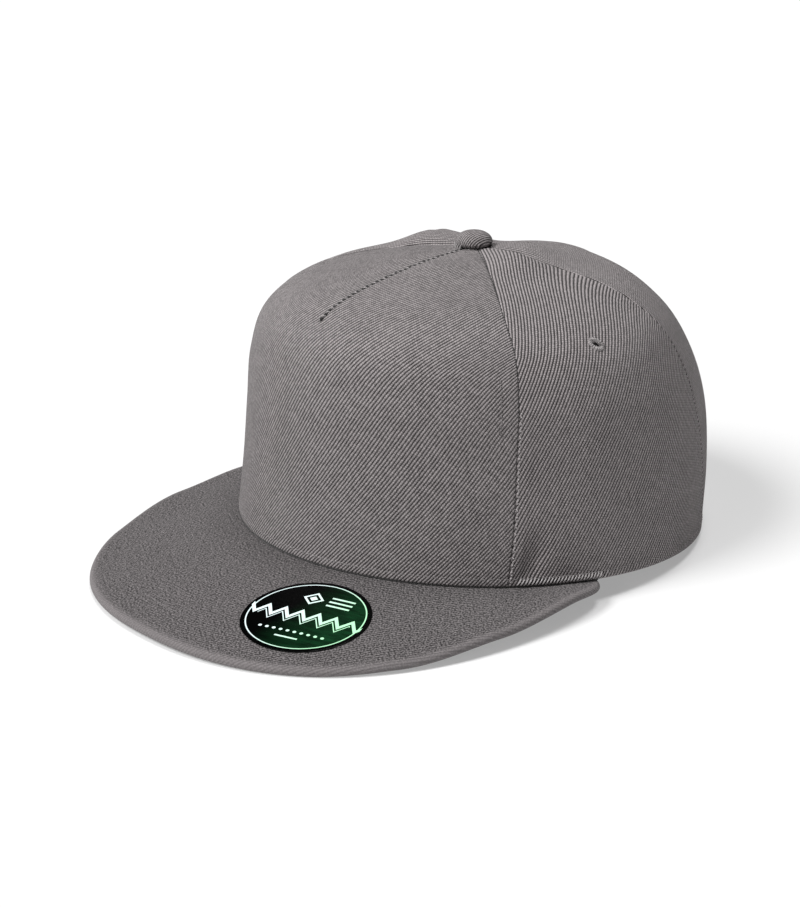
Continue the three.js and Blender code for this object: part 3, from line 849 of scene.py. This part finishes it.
def edge_height(share):
    """Height of the underside's edge: eased steps between the rows of its table."""
    row = np.clip(np.searchsorted(EDGE_SHARE, share), 1, len(EDGE_SHARE) - 1) - 1
    low, high = np.take(EDGE_SHARE, row), np.take(EDGE_SHARE, row + 1)
    t = np.clip((share - low) / (high - low), 0, 1)
    return np.take(EDGE_HEIGHT, row) + np.diff(EDGE_HEIGHT)[row] * t * t * (3 - 2 * t)


print("half of the peak's outline:", peak_outline(np.linspace(0, 1, 5)).round(1).tolist())

# %% Surface of the peak
JOINT_TURN, JOINT_INSET, JOINT_DROP, PEAK_CREST = 78.2, 1.7, 0.12, 0.6


def peak_lines(across):
    """Both ends of the ruled lines, across running from -1 at the right end to 1 at the left."""
    share, side = np.abs(across), np.sign(across)
    edge = peak_outline(share)
    turn = np.radians(JOINT_TURN * share)
    x = side * (HALF_WIDTH - JOINT_INSET) * np.sin(turn)
    y = -(FRONT_DEPTH - JOINT_INSET) * np.cos(turn)
    joint = np.stack([x, y, rim_height(y) - JOINT_DROP - PEAK_THICK / 2], -1)
    far = np.stack([side * edge[:, 0], edge[:, 1], edge_height(share) + PEAK_THICK / 2], -1)
    return joint, far


def peak_middle(across, out):
    """Middle of the board's thickness: joint + (edge - joint) out, with a slight crest. out is
    the same for all ruled lines or has a row for each."""
    joint, far = peak_lines(across)
    place = joint[:, None] + (far - joint)[:, None] * out[..., None]
    place[..., 2] += PEAK_CREST * np.sin(np.pi * out) * (1 - np.abs(across))[:, None]
    return place


def peak_reach(across):
    """Length of each ruled line, and its level direction away from the joint."""
    joint, far = peak_lines(across)
    level = (far - joint)[:, :2]
    return np.linalg.norm(far - joint, axis=1), level / np.linalg.norm(level, axis=1, keepdims=True)


print("longest line of the peak:", peak_reach(np.linspace(-1, 1, 101))[0].max().round(1), "mm")

# %% Peak piece
# Painted shade: the peak is the same twill as the crown, painted much darker to stand in for the shade
# on it, and near its edge it gets a painted highlight.
SHADED_PEAK_TWILL = twill("peak_twill", (0.178, 0.163, 0.165), (0.008, 0.007, 0.007), depth=0.12,
                   ribbing=0.6, grain=6.5, yarns=0.16, edge_highlight=0.7, fibres=(1.55, 1.35))
PEAK_LEAN, EDGE_HIGHLIGHT_REACH = 62, 2.2


def sew_peak():
    """Each ruled line gives one column: along the underside to the edge, round it in a quarter
    circle below and one above, and back along the top. The cloth is laid out by the length of
    its column from the joint on top, over the edge and on. The attribute edge is a bell of the
    distance from the edge, and the twill is paler there by it, which is a painted highlight."""
    even = np.linspace(-1, 1, 241)
    across = np.sin(even * np.pi / 2) * 0.35 + even * 0.65
    length, outward = peak_reach(across)
    rounded = np.minimum(PEAK_THICK / 2, 0.4 * length)[:, None]
    turn = np.linspace(0, np.pi / 2 - 0.05, 7)
    plain = crowded(44, [1.0], reach=0.12, gain=4)[:-1]
    from_edge = np.r_[1 - plain, 0 * turn]
    roll_in = np.r_[0 * plain + 1, 1 - np.sin(turn)]
    to_edge = from_edge * (length[:, None] - rounded) + roll_in * rounded
    middle = peak_middle(across, 1 - to_edge / length[:, None]).transpose(1, 0, 2)
    lift = np.zeros_like(middle)
    lift[..., 2] = PEAK_THICK / 2 * np.r_[0 * plain + 1, np.cos(turn)][:, None]
    rows = np.concatenate([middle - lift, (middle + lift)[::-1]])
    rows[..., 2] = np.maximum(rows[..., 2], 0.0)
    joint = peak_lines(across)[0][:, :2]
    x, y = np.moveaxis(joint + outward * lengths(rows[::-1], 0)[::-1, :, None], -1, 0)
    lean = np.radians(PEAK_LEAN)
    flat = np.stack([x * np.sin(lean) - y * np.cos(lean), x * np.cos(lean) + y * np.sin(lean)], -1)
    piece = make_wall("peak_cloth", rows, flat.reshape(-1, 2), SHADED_PEAK_TWILL, ["peak"])
    # Painted highlight: the twill is paler within a few mm of the edge.
    near = np.exp(-((np.concatenate([to_edge.T, to_edge.T[::-1]]) / EDGE_HIGHLIGHT_REACH) ** 2))
    edge = piece.data.attributes.new("edge", "FLOAT", "POINT")
    edge.data.foreach_set("value", near.ravel().astype(np.float32))


sew_peak()

# %% [markdown]
# ## The button
# A small metal disc covered with the same twill hides the point where the panels meet. It is
# a profile turned round the cap's axis, with small gathers where the cloth is pulled under.

# %% Button
BUTTON_RADIUS, BUTTON_HEIGHT, BUTTON_RIM, BUTTON_PLACE = 7.3, 5.5, 1.2, (-0.4, -0.4)
PLEATS, PLEAT_DEPTH = 22, 0.16


def cover_button():
    """A profile of radius and height, carried round. Gathers: a cosine of soft pleats round the
    low part. The cloth's map is a disc, laid down over the dome to its rim."""
    base = CROWN_HEIGHT + 0.2
    turn = np.linspace(0, np.pi / 2, 26)
    radius = np.r_[0.01, 1.5, 1.5, 4.5, 6.2, BUTTON_RADIUS * np.cos(turn) ** 0.8 + 1e-9]
    dome = BUTTON_RIM + (BUTTON_HEIGHT - BUTTON_RIM) * np.sin(turn)
    height = base + np.r_[-3.5, -3.5, -0.2, -0.3, 0, dome]
    around = np.linspace(0, 2 * np.pi, 132, endpoint=False)
    belly = np.exp(-((height - base - 0.5) / 0.9) ** 2) * (radius > 4)
    wide = radius[:, None] + PLEAT_DEPTH * belly[:, None] * np.cos(PLEATS * around)
    rows = np.stack([wide * np.sin(around), -wide * np.cos(around), height[:, None] + 0 * wide], -1)
    rows[0, :, :2], rows[-1, :, :2] = 0, 0
    points, faces = pointed_shell(rows)
    drop = (base + BUTTON_HEIGHT - points[:, 2]) * 0.9
    away = np.linalg.norm(points[:, :2], axis=1) + 1e-9
    flat = points[:, :2] * (1 + drop / away)[:, None]
    faces = outward_faces(points, faces)
    points = points + [*BUTTON_PLACE, 0]
    make_piece("button_cloth", points, faces, flat, FRONT_TWILL, ["top_button"])


cover_button()

# %% [markdown]
# ## The hidden parts
# The sweatband lies inside the rim and the strap closes the arch behind. Both are closed strips
# that follow the crown's own formula a little inside it, and they are finished plainly.

# %% Sweatband
def strip(angles, heights, depth, thick):
    """Closed strip inside the crown: outer rows a depth below the cloth from the top down, then
    inner rows back up."""
    share = share_at(heights)[:, None] + 0 * angles
    angles = angles + 0 * share
    face, normal = crown(angles, share), crown_normal(angles, share)
    outer, inner = face - normal * depth, face - normal * (depth + thick)
    return np.concatenate([outer[::-1], inner])


def band_map(rows):
    """Lengths round and up the strip as its UV, in mm."""
    half = len(rows) // 2
    u, v = lengths(rows[:half], 1), lengths(rows[:half], 0)
    outer = np.stack([u, v], -1)
    return np.concatenate([outer, outer[::-1]]).reshape(-1, 2)


def woven(name, light, dark, pitch, depth):
    """Plain weave: one thread over, one under, from |sin| x |sin| of the two directions."""
    finish, tree = new_finish(name)
    cloth, *parts = cloth_place(tree)
    waves = [calc(tree, "MULTIPLY", part, np.pi / pitch) for part in parts]
    weave = calc(tree, "MAXIMUM", *[calc(tree, "ABSOLUTE", calc(tree, "SINE", wave)) for wave in waves])
    fuzz = noise(tree, cloth, 1.3, 3.0)
    tone = calc(tree, "MULTIPLY", weave, between(tree, fuzz, 0.25, 0.75, 0.65, 1.05))
    return dress(finish, mixed(tree, tone, dark, light), weave, depth, Roughness=0.92)


BAND_CLOTH = woven("band_cloth", (0.12, 0.11, 0.112), (0.05, 0.046, 0.047), pitch=0.7, depth=0.12)
BAND_END, BAND_LOW, BAND_HIGH, BAND_THICK, BAND_GAP = 148, 1.5, 30, 1.3, 0.35
band_angles, band_heights = np.linspace(-BAND_END, BAND_END, 241), np.linspace(BAND_LOW, BAND_HIGH, 15)
band = strip(band_angles, band_heights, WALL + BAND_GAP, BAND_THICK)
make_wall("sweatband_cloth", band, band_map(band), BAND_CLOTH, ["sweatband"])

# %% [markdown]
# ## The strap
# Two plastic straps close the arch behind: one with a row of pegs, one with holes that press on
# over them. The pegs fill the holes, so only the pegs are made. Each strap is a strip with round
# edges, so its profile is carried along the crown's curve.

# %% Moulded plastic
def moulded(name, light, dark):
    """Soft plastic: fine grain, faint flow marks and a slightly varying gloss."""
    finish, tree = new_finish(name)
    place = put(tree, "ShaderNodeTexCoord").outputs["Object"]
    grain = noise(tree, place, 2600.0, 3.0)
    flow = noise(tree, place, 60.0, 2.0)
    tone = calc(tree, "MULTIPLY_ADD", grain, 0.5, calc(tree, "MULTIPLY", flow, 0.5))
    colour = mixed(tree, between(tree, tone, 0.3, 0.7), dark, light)
    gloss = between(tree, flow, 0.3, 0.7, 0.36, 0.52)
    return dress(finish, colour, grain, 0.06, Roughness=gloss)


PLASTIC = moulded("strap_plastic", (0.105, 0.1, 0.1), (0.075, 0.07, 0.07))

# %% Strap halves and pegs
STRAP_MIDDLE, STRAP_HALF, STRAP_THICK, STRAP_ROUND = 10.6, 9.0, 1.0, 7
INNER_DEPTH, OUTER_DEPTH = WALL + 0.4, WALL - 0.8
PEGS, PEG_PITCH, PEG_SIDES = 6, 7, 20


def strap_strip(first, last, depth, round_start):
    """Strip between two angles behind. Its cross-section is a flat oval whose two faces have 15
    points each, and its height shrinks over the last few mm of one end like half an ellipse."""
    angles = 180 + np.linspace(first, last, 121)
    arc = np.radians(angles - 180) * BACK_DEPTH
    near = (arc - arc[0] if round_start else arc[-1] - arc) + 0.02
    shrink = np.sqrt(1 - (np.clip(1 - near / STRAP_ROUND, 0, 1) * 0.97) ** 2)
    turn = np.linspace(0, np.pi, 15)
    up = np.cos(turn) * (1 - 0.08 * np.sin(turn) ** 8)
    half_thick = np.sin(turn) ** 0.3 * STRAP_THICK / 2
    half_thick[[0, -1]] = 0.05
    share = share_at(STRAP_MIDDLE + STRAP_HALF * up[:, None] * shrink)
    normal = crown_normal(angles + 0 * share, share)
    middle = crown(angles, share) - normal * (depth + STRAP_THICK / 2)
    bulge = normal * half_thick[:, None, None]
    return np.concatenate([middle + bulge, (middle - bulge)[::-1]])


def turned_parts(centres, normals, ups, radius, height):
    """Points and faces of many small turned parts: a profile of radius and height is carried
    round the outward direction at each centre, and a flat cap closes both of its ends."""
    asides = np.cross(ups, normals)
    turn = np.linspace(0, 2 * np.pi, PEG_SIDES, endpoint=False)
    ring = asides[:, None, None] * np.cos(turn)[:, None] + ups[:, None, None] * np.sin(turn)[:, None]
    rows = ring * radius[:, None, None] + normals[:, None, None] * height[:, None, None]
    rows = centres[:, None, None] + rows
    number = np.arange(rows[..., 0].size).reshape(rows.shape[:3])
    return rows.reshape(-1, 3), tube_faces(number)


def strap_pegs():
    """Pegs that stand out of the outer strap, evenly spaced on both sides of the middle."""
    offsets = (np.arange(PEGS) - (PEGS - 1) / 2) * PEG_PITCH
    angles = 180 + np.degrees(offsets / BACK_DEPTH)
    share = share_at(np.full(PEGS, STRAP_MIDDLE))
    normals = crown_normal(angles, share)
    centres = crown(angles, share) - normals * OUTER_DEPTH
    ups = crown(angles, share + 0.02) - crown(angles, share)
    ups /= np.linalg.norm(ups, axis=1, keepdims=True)
    radius = np.array([1.5, 1.5, 1.6, 1.45, 0.9, 0.1])
    height = np.array([-0.6, 0.1, 0.35, 0.6, 0.74, 0.76])
    return turned_parts(centres, normals, ups, radius, height)


def sew_strap():
    """Both strips and the pegs as one mesh, each a closed shell of its own."""
    strips = [strap_strip(-15, 30, INNER_DEPTH, True), strap_strip(-30, 15, OUTER_DEPTH, False)]
    shells = [(rows.reshape(-1, 3), closed_wall(rows)) for rows in strips] + [strap_pegs()]
    blocks, start = [], 0
    for points, faces in shells:
        blocks += [block + start for block in outward_faces(points, faces)]
        start += len(points)
    points = np.vstack([points for points, _ in shells])
    flat = points[:, [0, 2]]
    make_piece("snap_strap_plastic", points, blocks, flat, PLASTIC, ["snap_strap"])


sew_strap()

# %% [markdown]
# ## Stitches
# A row of threads just above the rim holds the sweatband, short threads cross the seams and the
# dart where they are pulled tight, one row runs round the peak, and a faint row on the front
# panel holds the tape behind the seam. One function lays all of them. Dark runs low in a seam
# are painted shade for its depth between the threads, and a dark cord is painted shade in the
# joint between rim and peak.

# %% Lines on the crown
def crown_line(angles, height, lift=0.0):
    """Points and outward directions on the crown at one height above the rim."""
    share = share_at(np.full(len(angles), height))
    out = crown_normal(angles, share)
    return crown(angles, share) + out * lift, out


def seam_line(angle_of, low, high, aside=0.0):
    """Points, outward and sideways directions along a line of angles up the crown, moved aside
    by some mm."""
    share = np.linspace(low, high, 400)
    angle = angle_of(share)
    points, out = crown(angle, share), crown_normal(angle, share)
    forward = np.gradient(points, axis=0)
    sideways = np.cross(forward, out)
    sideways /= np.linalg.norm(sideways, axis=1, keepdims=True)
    return points + sideways * aside, out, sideways


THREADS_TOP, THREAD_STEP = 0.975, 2.4


def cross_threads(name, angle_of, low, reach, depth=0.3, radius=0.11, finish=THREAD):
    """Short threads across a seam, one after another by a step in mm. Each runs from a reach on
    one side to a reach on the other, slants a little and starts a depth below the cloth."""
    points, out, sideways = seam_line(angle_of, low, THREADS_TOP)
    length = lengths(points, 0)
    at = np.arange(1.0, length[-1] - 0.5, THREAD_STEP)
    out, sideways = at_lengths(out, length, at), at_lengths(sideways, length, at)
    middle = at_lengths(points, length, at) - out * depth
    slant = at_lengths(points, length, at + 0.3) - at_lengths(points, length, at - 0.3)
    half = sideways * reach + slant * 0.6
    lay_threads(name, middle - half, middle + half, out, radius, 0.12, finish)


# %% Hem, seam, dart and tape threads
# Near-black thread laid where seams and the rim's joint are only in shade: painted shade.
SHADE_THREAD = thread_finish("painted_shade_thread", (0.02, 0.018, 0.018), (0.006, 0.005, 0.005))


def lay_cord(name, path, radius, finish):
    """One long cord: path + radius (aside cos + up sin), with a flat cap at each end."""
    forward = np.gradient(path, axis=0)
    aside = np.cross(forward, [0, 0, 1.0])
    aside /= np.linalg.norm(aside, axis=1, keepdims=True)
    up = np.cross(aside, forward)
    up /= np.linalg.norm(up, axis=1, keepdims=True)
    turn = np.linspace(0, 2 * np.pi, 8, endpoint=False)
    ring = aside[:, None] * np.cos(turn)[:, None] + up[:, None] * np.sin(turn)[:, None]
    points = (path[:, None] + radius * ring).reshape(-1, 3)
    number = np.arange(len(points)).reshape(-1, len(turn))
    flat = np.stack(np.broadcast_arrays(lengths(path, 0)[:, None], turn), -1).reshape(-1, 2)
    make_piece(name, points, outward_faces(points, tube_faces(number)), flat, finish)


def seam_at(seam, side):
    """Function that gives a seam's angle by share, on one side of the cap."""
    return lambda share: side * seam_angle(seam, share)


def middle_at(angle):
    """Function that gives the same angle at every share."""
    return lambda share: angle + 0 * share


SIDES = ((1, "left"), (-1, "right"))
JOINT_END, CORD_RADIUS, CORD_SINK = 79, 0.44, 0.72
TAPE_LOW, TAPE_HIGH, TAPE_ASIDE = 0.36, 0.52, 6.7
# Painted shade: a dark cord in the joint where the rolled hem meets the peak.
joint_angle = np.linspace(-JOINT_END, JOINT_END, 401)
joint_path = crown(joint_angle, 0) - crown_normal(joint_angle, 0) * CORD_SINK + [0, 0, 0.1]
lay_cord("joint_shade_cord", joint_path, CORD_RADIUS, SHADE_THREAD)
print("joint:", round(lengths(joint_path, 0)[-1]), "mm long")
line, out = crown_line(np.linspace(-154, 154, 900), HEM_ROW)
lay_threads("hem_stitches", *along_line(line, out, run=2.2, gap=0.8), radius=0.17, rise=0.05)
for side, word in SIDES:
    front, back = seam_at(FRONT_SEAM, side), seam_at(BACK_SEAM, side)
    cross_threads("front_seam_threads_" + word, front, low=0.02, reach=0.62)
    cross_threads("back_seam_threads_" + word, back, low=0.02, reach=0.55)
    tape, out, _ = seam_line(front, TAPE_LOW, TAPE_HIGH, -TAPE_ASIDE * side)
    stitches = along_line(tape, out, run=1.2, gap=0.9)
    lay_threads("tape_stitches_" + word, *stitches, radius=0.15, rise=0.06)
cross_threads("centre_seam_threads", middle_at(180), low=0.42, reach=0.55)
cross_threads("dart_threads", middle_at(0), low=DART_END + 0.01, reach=0.9, depth=0.15, radius=0.2,
              finish=PALE)


def seam_shade_runs(name, angle_of, low, run, gap, radius, sunk):
    """Dark runs low in a seam's valley, nearly as many as the threads across it: painted shade of the
    valley.
    """
    points, out, _ = seam_line(angle_of, low, THREADS_TOP)
    lay_threads(name, *along_line(points - out * sunk, out, run, gap), radius, 0.0, SHADE_THREAD)


seam_shade_runs("dart_shade_runs", middle_at(0), low=DART_END, run=1.9, gap=0.5, radius=0.62, sunk=0.12)
for side, word in SIDES:
    front, back = seam_at(FRONT_SEAM, side), seam_at(BACK_SEAM, side)
    seam_shade_runs("front_seam_shade_" + word, front, low=0.4, run=1.45, gap=0.85, radius=0.36, sunk=0.2)
    seam_shade_runs("back_seam_shade_" + word, back, low=0.3, run=1.3, gap=1.1, radius=0.22, sunk=0.35)

# %% Painted highlights on the hem and on a seam's edge, and a thread's end
# Pale strokes over the hem beside the front seam, a painted highlight where its ribs catch the
# light, each a degree further on at its upper end
stroke_angle = np.linspace(59, 79, 25)
low_row, low_out = crown_line(stroke_angle, height=0.8, lift=0.3)
high_row, _ = crown_line(stroke_angle + 1, height=3.5, lift=0.15)
lay_threads("hem_highlight_strokes", low_row, high_row, low_out, radius=0.3, rise=0.2, finish=PALE)
# Pale threads on the rolled edge of the cloth beside the near front seam: a painted highlight
bead, bead_out, _ = seam_line(seam_at(FRONT_SEAM, 1), 0.01, 0.42, aside=0.8)
stitches = along_line(bead, bead_out, run=0.9, gap=0.4)
lay_threads("seam_edge_highlights", *stitches, radius=0.27, rise=0.12, finish=PALE)
# Threads from under the button out over the front panel and the right side
foot_angle = np.linspace(-78, 4, 9)
foot_turn = np.radians(foot_angle)
foot = np.stack([np.sin(foot_turn), -np.cos(foot_turn), 0 * foot_turn], -1)
near_foot = foot * (BUTTON_RADIUS - 0.2) + [*BUTTON_PLACE, CROWN_HEIGHT + 1.5]
far_foot, foot_out = crown(foot_angle, 0.963), foot * 0.5 + [0, 0, 0.87]
lay_threads("button_threads", near_foot, far_foot, foot_out, radius=0.2, rise=0.3, finish=PALE)
# A loose end of thread at the rim, in two short arcs through three points
end_angle, end_share = np.array([80.2, 81.2, 81.6]), np.array([0.002, 0.012, 0.022])
ends, ends_out = crown(end_angle, end_share), crown_normal(end_angle, end_share)
lay_threads("thread_end", ends[:2], ends[1:], ends_out[:2], radius=0.16, rise=0.5, finish=PALE)

# %% Stitch row round the peak
ROW_INSET, ROW_LIFT = 14.4, 0.02


def peak_top(across, from_edge, lift):
    """Points at a height over the top of the peak, a distance in mm inside its outline."""
    out = 1 - from_edge / peak_reach(across)[0][:, None]
    return peak_middle(across, out)[:, 0] + [0, 0, PEAK_THICK / 2 + lift]


PEAK_THREAD = thread_finish("peak_thread", (0.24, 0.222, 0.224), (0.1, 0.092, 0.093))
row = peak_top(np.linspace(-0.62, 0.62, 700), ROW_INSET, ROW_LIFT)
stitches = along_line(row, np.tile([0, 0, 1.0], (len(row), 1)), run=2.6, gap=0.9)
lay_threads("peak_stitches", *stitches, radius=0.13, rise=0.04, finish=PEAK_THREAD)

# %% [markdown]
# ## Vent rings
# Each vent hole is sewn round with thread. A ring whose small radius rises and falls with every
# stitch looks like that, and it is pressed flat and pulled into an oval.

# %% Vent rings
VENT_THREAD = thread_finish("vent_thread", (0.36, 0.335, 0.335), (0.02, 0.018, 0.018), fuzz_scale=0.9)
VENT_LONG, VENT_SHORT, VENT_LEAN, VENT_STITCHES, VENT_PRESS = 2.5, 1.8, -40, 17, 0.5


def vent_ring(name, side):
    """Oval torus: the large radii lie along a slanting axis and across it, and the small one is
    1 mm with uneven waves round it for the stitches. Its height is pressed to a half."""
    centre = crown(side * VENT_ANGLE, VENT_SHARE)
    out = crown_normal(side * VENT_ANGLE, VENT_SHARE)
    up = crown(side * VENT_ANGLE, VENT_SHARE + 0.01) - centre
    up = up / np.linalg.norm(up)
    aside = np.cross(up, out)
    slant = np.radians(VENT_LEAN)
    axis = aside * np.cos(slant) + up * np.sin(slant)
    other = up * np.cos(slant) - aside * np.sin(slant)
    around = np.linspace(0, 2 * np.pi, 180, endpoint=False)[:, None]
    small = np.linspace(0, 2 * np.pi, 12, endpoint=False)
    waves = np.cos(VENT_STITCHES * around + 0.6 * np.sin(small))
    thick = 1.0 + (0.2 + 0.12 * np.sin(3 * around)) * waves
    wide, deep = VENT_LONG + thick * np.cos(small), VENT_SHORT + thick * np.cos(small)
    rise = VENT_PRESS * thick * np.sin(small) - 0.32
    places = np.stack([wide * np.cos(around), deep * np.sin(around), rise], -1)
    points = (centre + places @ np.stack([axis, other, out])).reshape(-1, 3)
    number = np.arange(len(points)).reshape(-1, len(small))
    beside = np.roll(number, -1, axis=0)
    ring = [number, beside, np.roll(beside, -1, axis=1), np.roll(number, -1, axis=1)]
    faces = [np.stack(ring, -1).reshape(-1, 4)]
    place = around * VENT_STITCHES / 12.6 + 2.4
    flat = np.stack(np.broadcast_arrays(small * 0.2, place), -1).reshape(-1, 2)
    make_piece(name, points, outward_faces(points, faces), flat, VENT_THREAD)


for side, word in SIDES:
    vent_ring("vent_ring_" + word, side)

# %% [markdown]
# ## Binding of the arch
# The cut edge of the arch is covered with a folded strip of cloth. Its cross-section is a thin U
# that grips the wall, and it is carried along the arch from one foot to the other.

# %% Arch binding
def bind_arch():
    """Path up one side of the arch and down the other. The profile's first number runs from the
    edge into the cloth, and the second outwards: out over the wall, round the edge and back. A
    second profile inside it, drawn in by a fifth, gives the strip its thickness. Returns the
    path with its directions into the cloth and outwards."""
    angle, share = arch_edge()
    angle = np.r_[angle, 360 - angle[-2::-1]]
    share = np.r_[share, share[-2::-1]]
    path, out = crown(angle, share), crown_normal(angle, share)
    forward = np.gradient(path, axis=0)
    inward = np.cross(out, forward)
    inward /= np.linalg.norm(inward, axis=1, keepdims=True)
    inward *= np.sign(inward[len(inward) // 2, 2])
    turn = np.linspace(np.pi / 2, 3 * np.pi / 2, 11)
    into = np.r_[5.4, 5.2, 3.0, 0.6 + 1.5 * np.cos(turn), 3.0, 5.2, 5.4]
    outer = np.r_[0.1, 0.5, 0.52, -1.0 + 1.5 * np.sin(turn), -2.52, -2.5, -2.1]
    rows = path + inward * into[:, None, None] + out * outer[:, None, None]
    within = path + inward * 3.0 - out * 1.0
    inner = within + (rows - within) * 0.78
    rows = np.concatenate([rows, inner[::-1]])
    rows[..., 2] = np.maximum(rows[..., 2], 0.15)
    make_wall("arch_binding", rows, band_map(rows), BAND_CLOTH)
    return path, inward, out


arch_path, arch_inward, arch_out = bind_arch()
edge_row = arch_path + arch_inward * 4.3 + arch_out * 0.5
stitches = along_line(edge_row[6:-6], arch_out[6:-6], run=2.2, gap=0.8)
lay_threads("arch_stitches", *stitches, radius=0.15, rise=0.05)

# %% [markdown]
# ## The label
# A round, slightly oval glossy film lies on the peak. It carries plain marks: a thin ring, a
# zigzag band, a diamond, and rows of dots and bars. The marks are worked out in the material
# from the label's own map, in mm from its centre, and a painted green reflection lies towards
# its right side, in the film and in the marks.

# %% Label film
def label_film():
    """Every mark is a distance compared with a width: the ring from the radius, the zigzag from a
    triangle wave, the dots from repeated cells, and the diamond from |x| + |y|."""
    finish, tree = new_finish("label_film")
    place, x, y = cloth_place(tree)
    radius = put(tree, "ShaderNodeVectorMath", {"operation": "LENGTH"}, i0=place).outputs[1]

    def within(value, middle, half):
        """1 where a value lies within half of a middle value, with a soft edge."""
        away = calc(tree, "ABSOLUTE", calc(tree, "SUBTRACT", value, middle))
        return between(tree, away, half, half + 0.12, 1.0, 0.0)

    def all_of(first, *others):
        """The product of marks, which is 1 only where all of them are."""
        for other in others:
            first = calc(tree, "MULTIPLY", first, other)
        return first

    def any_of(first, *others):
        """The greatest of marks, which is 1 where one of them is."""
        for other in others:
            first = calc(tree, "MAXIMUM", first, other)
        return first

    ring = within(radius, 21.8, 0.17)
    zigzag = calc(tree, "MULTIPLY", calc(tree, "PINGPONG", calc(tree, "ADD", x, 40.0), 3.4), 1.6)
    over_zigzag = calc(tree, "SUBTRACT", y, zigzag)
    band = all_of(within(over_zigzag, -3.0, 1.15), within(x, 0.0, 22.6))
    under = all_of(within(over_zigzag, -5.8, 0.3), within(x, 0.0, 18.0))
    cell = calc(tree, "SUBTRACT", calc(tree, "FLOORED_MODULO", x, 2.8), 1.4)
    dot_place = put(tree, "ShaderNodeCombineXYZ", X=cell, Y=calc(tree, "ADD", y, 11.2)).outputs[0]
    dot = put(tree, "ShaderNodeVectorMath", {"operation": "LENGTH"}, i0=dot_place).outputs[1]
    dots = all_of(within(dot, 0.0, 0.62), within(x, 0.0, 13.9))
    gem_across = calc(tree, "ABSOLUTE", calc(tree, "ADD", x, 3.0))
    gem = calc(tree, "ADD", gem_across, calc(tree, "ABSOLUTE", calc(tree, "SUBTRACT", y, 11.6)))
    gems = any_of(within(gem, 3.6, 0.5), within(gem, 0.0, 1.6))
    bars = calc(tree, "FLOORED_MODULO", y, 2.6)
    lines = all_of(within(bars, 1.3, 0.4), within(y, 11.4, 3.9), within(x, 8.0, 4.6))
    low_bar = all_of(within(y, -15.2, 0.34), within(x, 0.0, 4.5))
    marks = any_of(ring, band, under, dots, gems, lines, low_bar)
    # Painted reflection: a streaky green sheen in the colour towards the right side, in the film and the
    # marks.
    reflection_side = between(tree, calc(tree, "MULTIPLY_ADD", y, -0.25, x), -9.0, 15.0)
    drawn = put(tree, "ShaderNodeMapping", Vector=place, Rotation=(0, 0, 0.5), Scale=(0.12, 0.5, 1))
    streak = noise(tree, drawn.outputs[0], 0.9, 3.0)
    painted_reflection = all_of(reflection_side, within(radius, 0.0, 22.0), between(tree, streak, 0.3, 0.75, 0.25, 1.0))
    film = mixed(tree, painted_reflection, (0.001, 0.0011, 0.0011), (0.005, 0.038, 0.013))
    ink = mixed(tree, reflection_side, (0.68, 0.8, 0.8), (0.42, 0.8, 0.5))
    wrinkle, gloss = noise(tree, place, 0.22, 2.0), between(tree, streak, 0.2, 0.8, 0.16, 0.26)
    colour = mixed(tree, marks, film, ink)
    return dress(finish, colour, wrinkle, 0.15, Roughness=gloss, Specular_IOR_Level=0.04)


LABEL_PLACE, LABEL_RADIUS, LABEL_TURN, LABEL_PRESS = np.array([40.5, -121.2]), 23.9, 21.5, 0.92
LABEL_LONG = np.array([0.683, 0.73])


def peak_height(places):
    """Height of the top of the peak above places in the label: that of the nearest of many points
    of its surface."""
    grid = peak_middle(np.linspace(0.05, 0.75, 301), np.linspace(0.1, 1, 201)).reshape(-1, 3)
    tree = KDTree(len(grid))
    for number, (x, y, _) in enumerate(grid):
        tree.insert((x, y, 0), number)
    tree.balance()
    nearest = [tree.find((x, y, 0))[1] for x, y in places.reshape(-1, 2)]
    return grid[nearest, 2].reshape(places.shape[:-1]) + PEAK_THICK / 2


def lay_label():
    """Polar grid: the radius runs out over the top, turns down at the rim and comes back below.
    It is a circle pressed to an oval across its long axis, and its map is round again."""
    turn = np.linspace(0, 2 * np.pi, 128, endpoint=False)
    rim = LABEL_RADIUS - np.array([0.08, 0, 0.1])
    inner, under = np.linspace(0, LABEL_RADIUS - 0.3, 26), np.linspace(LABEL_RADIUS - 0.4, 0, 8)
    radius = np.r_[inner, rim, under]
    lift = np.r_[np.full(26, 0.45), 0.4, 0.3, 0.2, np.full(8, 0.12)]
    short = np.array([-LABEL_LONG[1], LABEL_LONG[0]])
    round_places = radius[:, None, None] * np.stack([np.cos(turn), np.sin(turn)], -1)
    places = LABEL_PLACE + round_places @ np.stack([LABEL_LONG, short * LABEL_PRESS])
    height = peak_height(places) + lift[:, None]
    points, faces = pointed_shell(np.concatenate([places, height[..., None]], -1))
    offset = points[:, :2] - LABEL_PLACE
    away = np.outer(offset @ LABEL_LONG, LABEL_LONG) + np.outer(offset @ short, short) / LABEL_PRESS
    cos, sin = np.cos(np.radians(LABEL_TURN)), np.sin(np.radians(LABEL_TURN))
    flat = away @ np.array([[cos, -sin], [sin, cos]])
    faces = outward_faces(points, faces)
    make_piece("label", points, faces, flat, label_film(), ["peak_label"])


lay_label()

# %% Sizes
print("triangles:", sum(sum(len(face.vertices) - 2 for face in piece.data.polygons) for piece in PIECES))
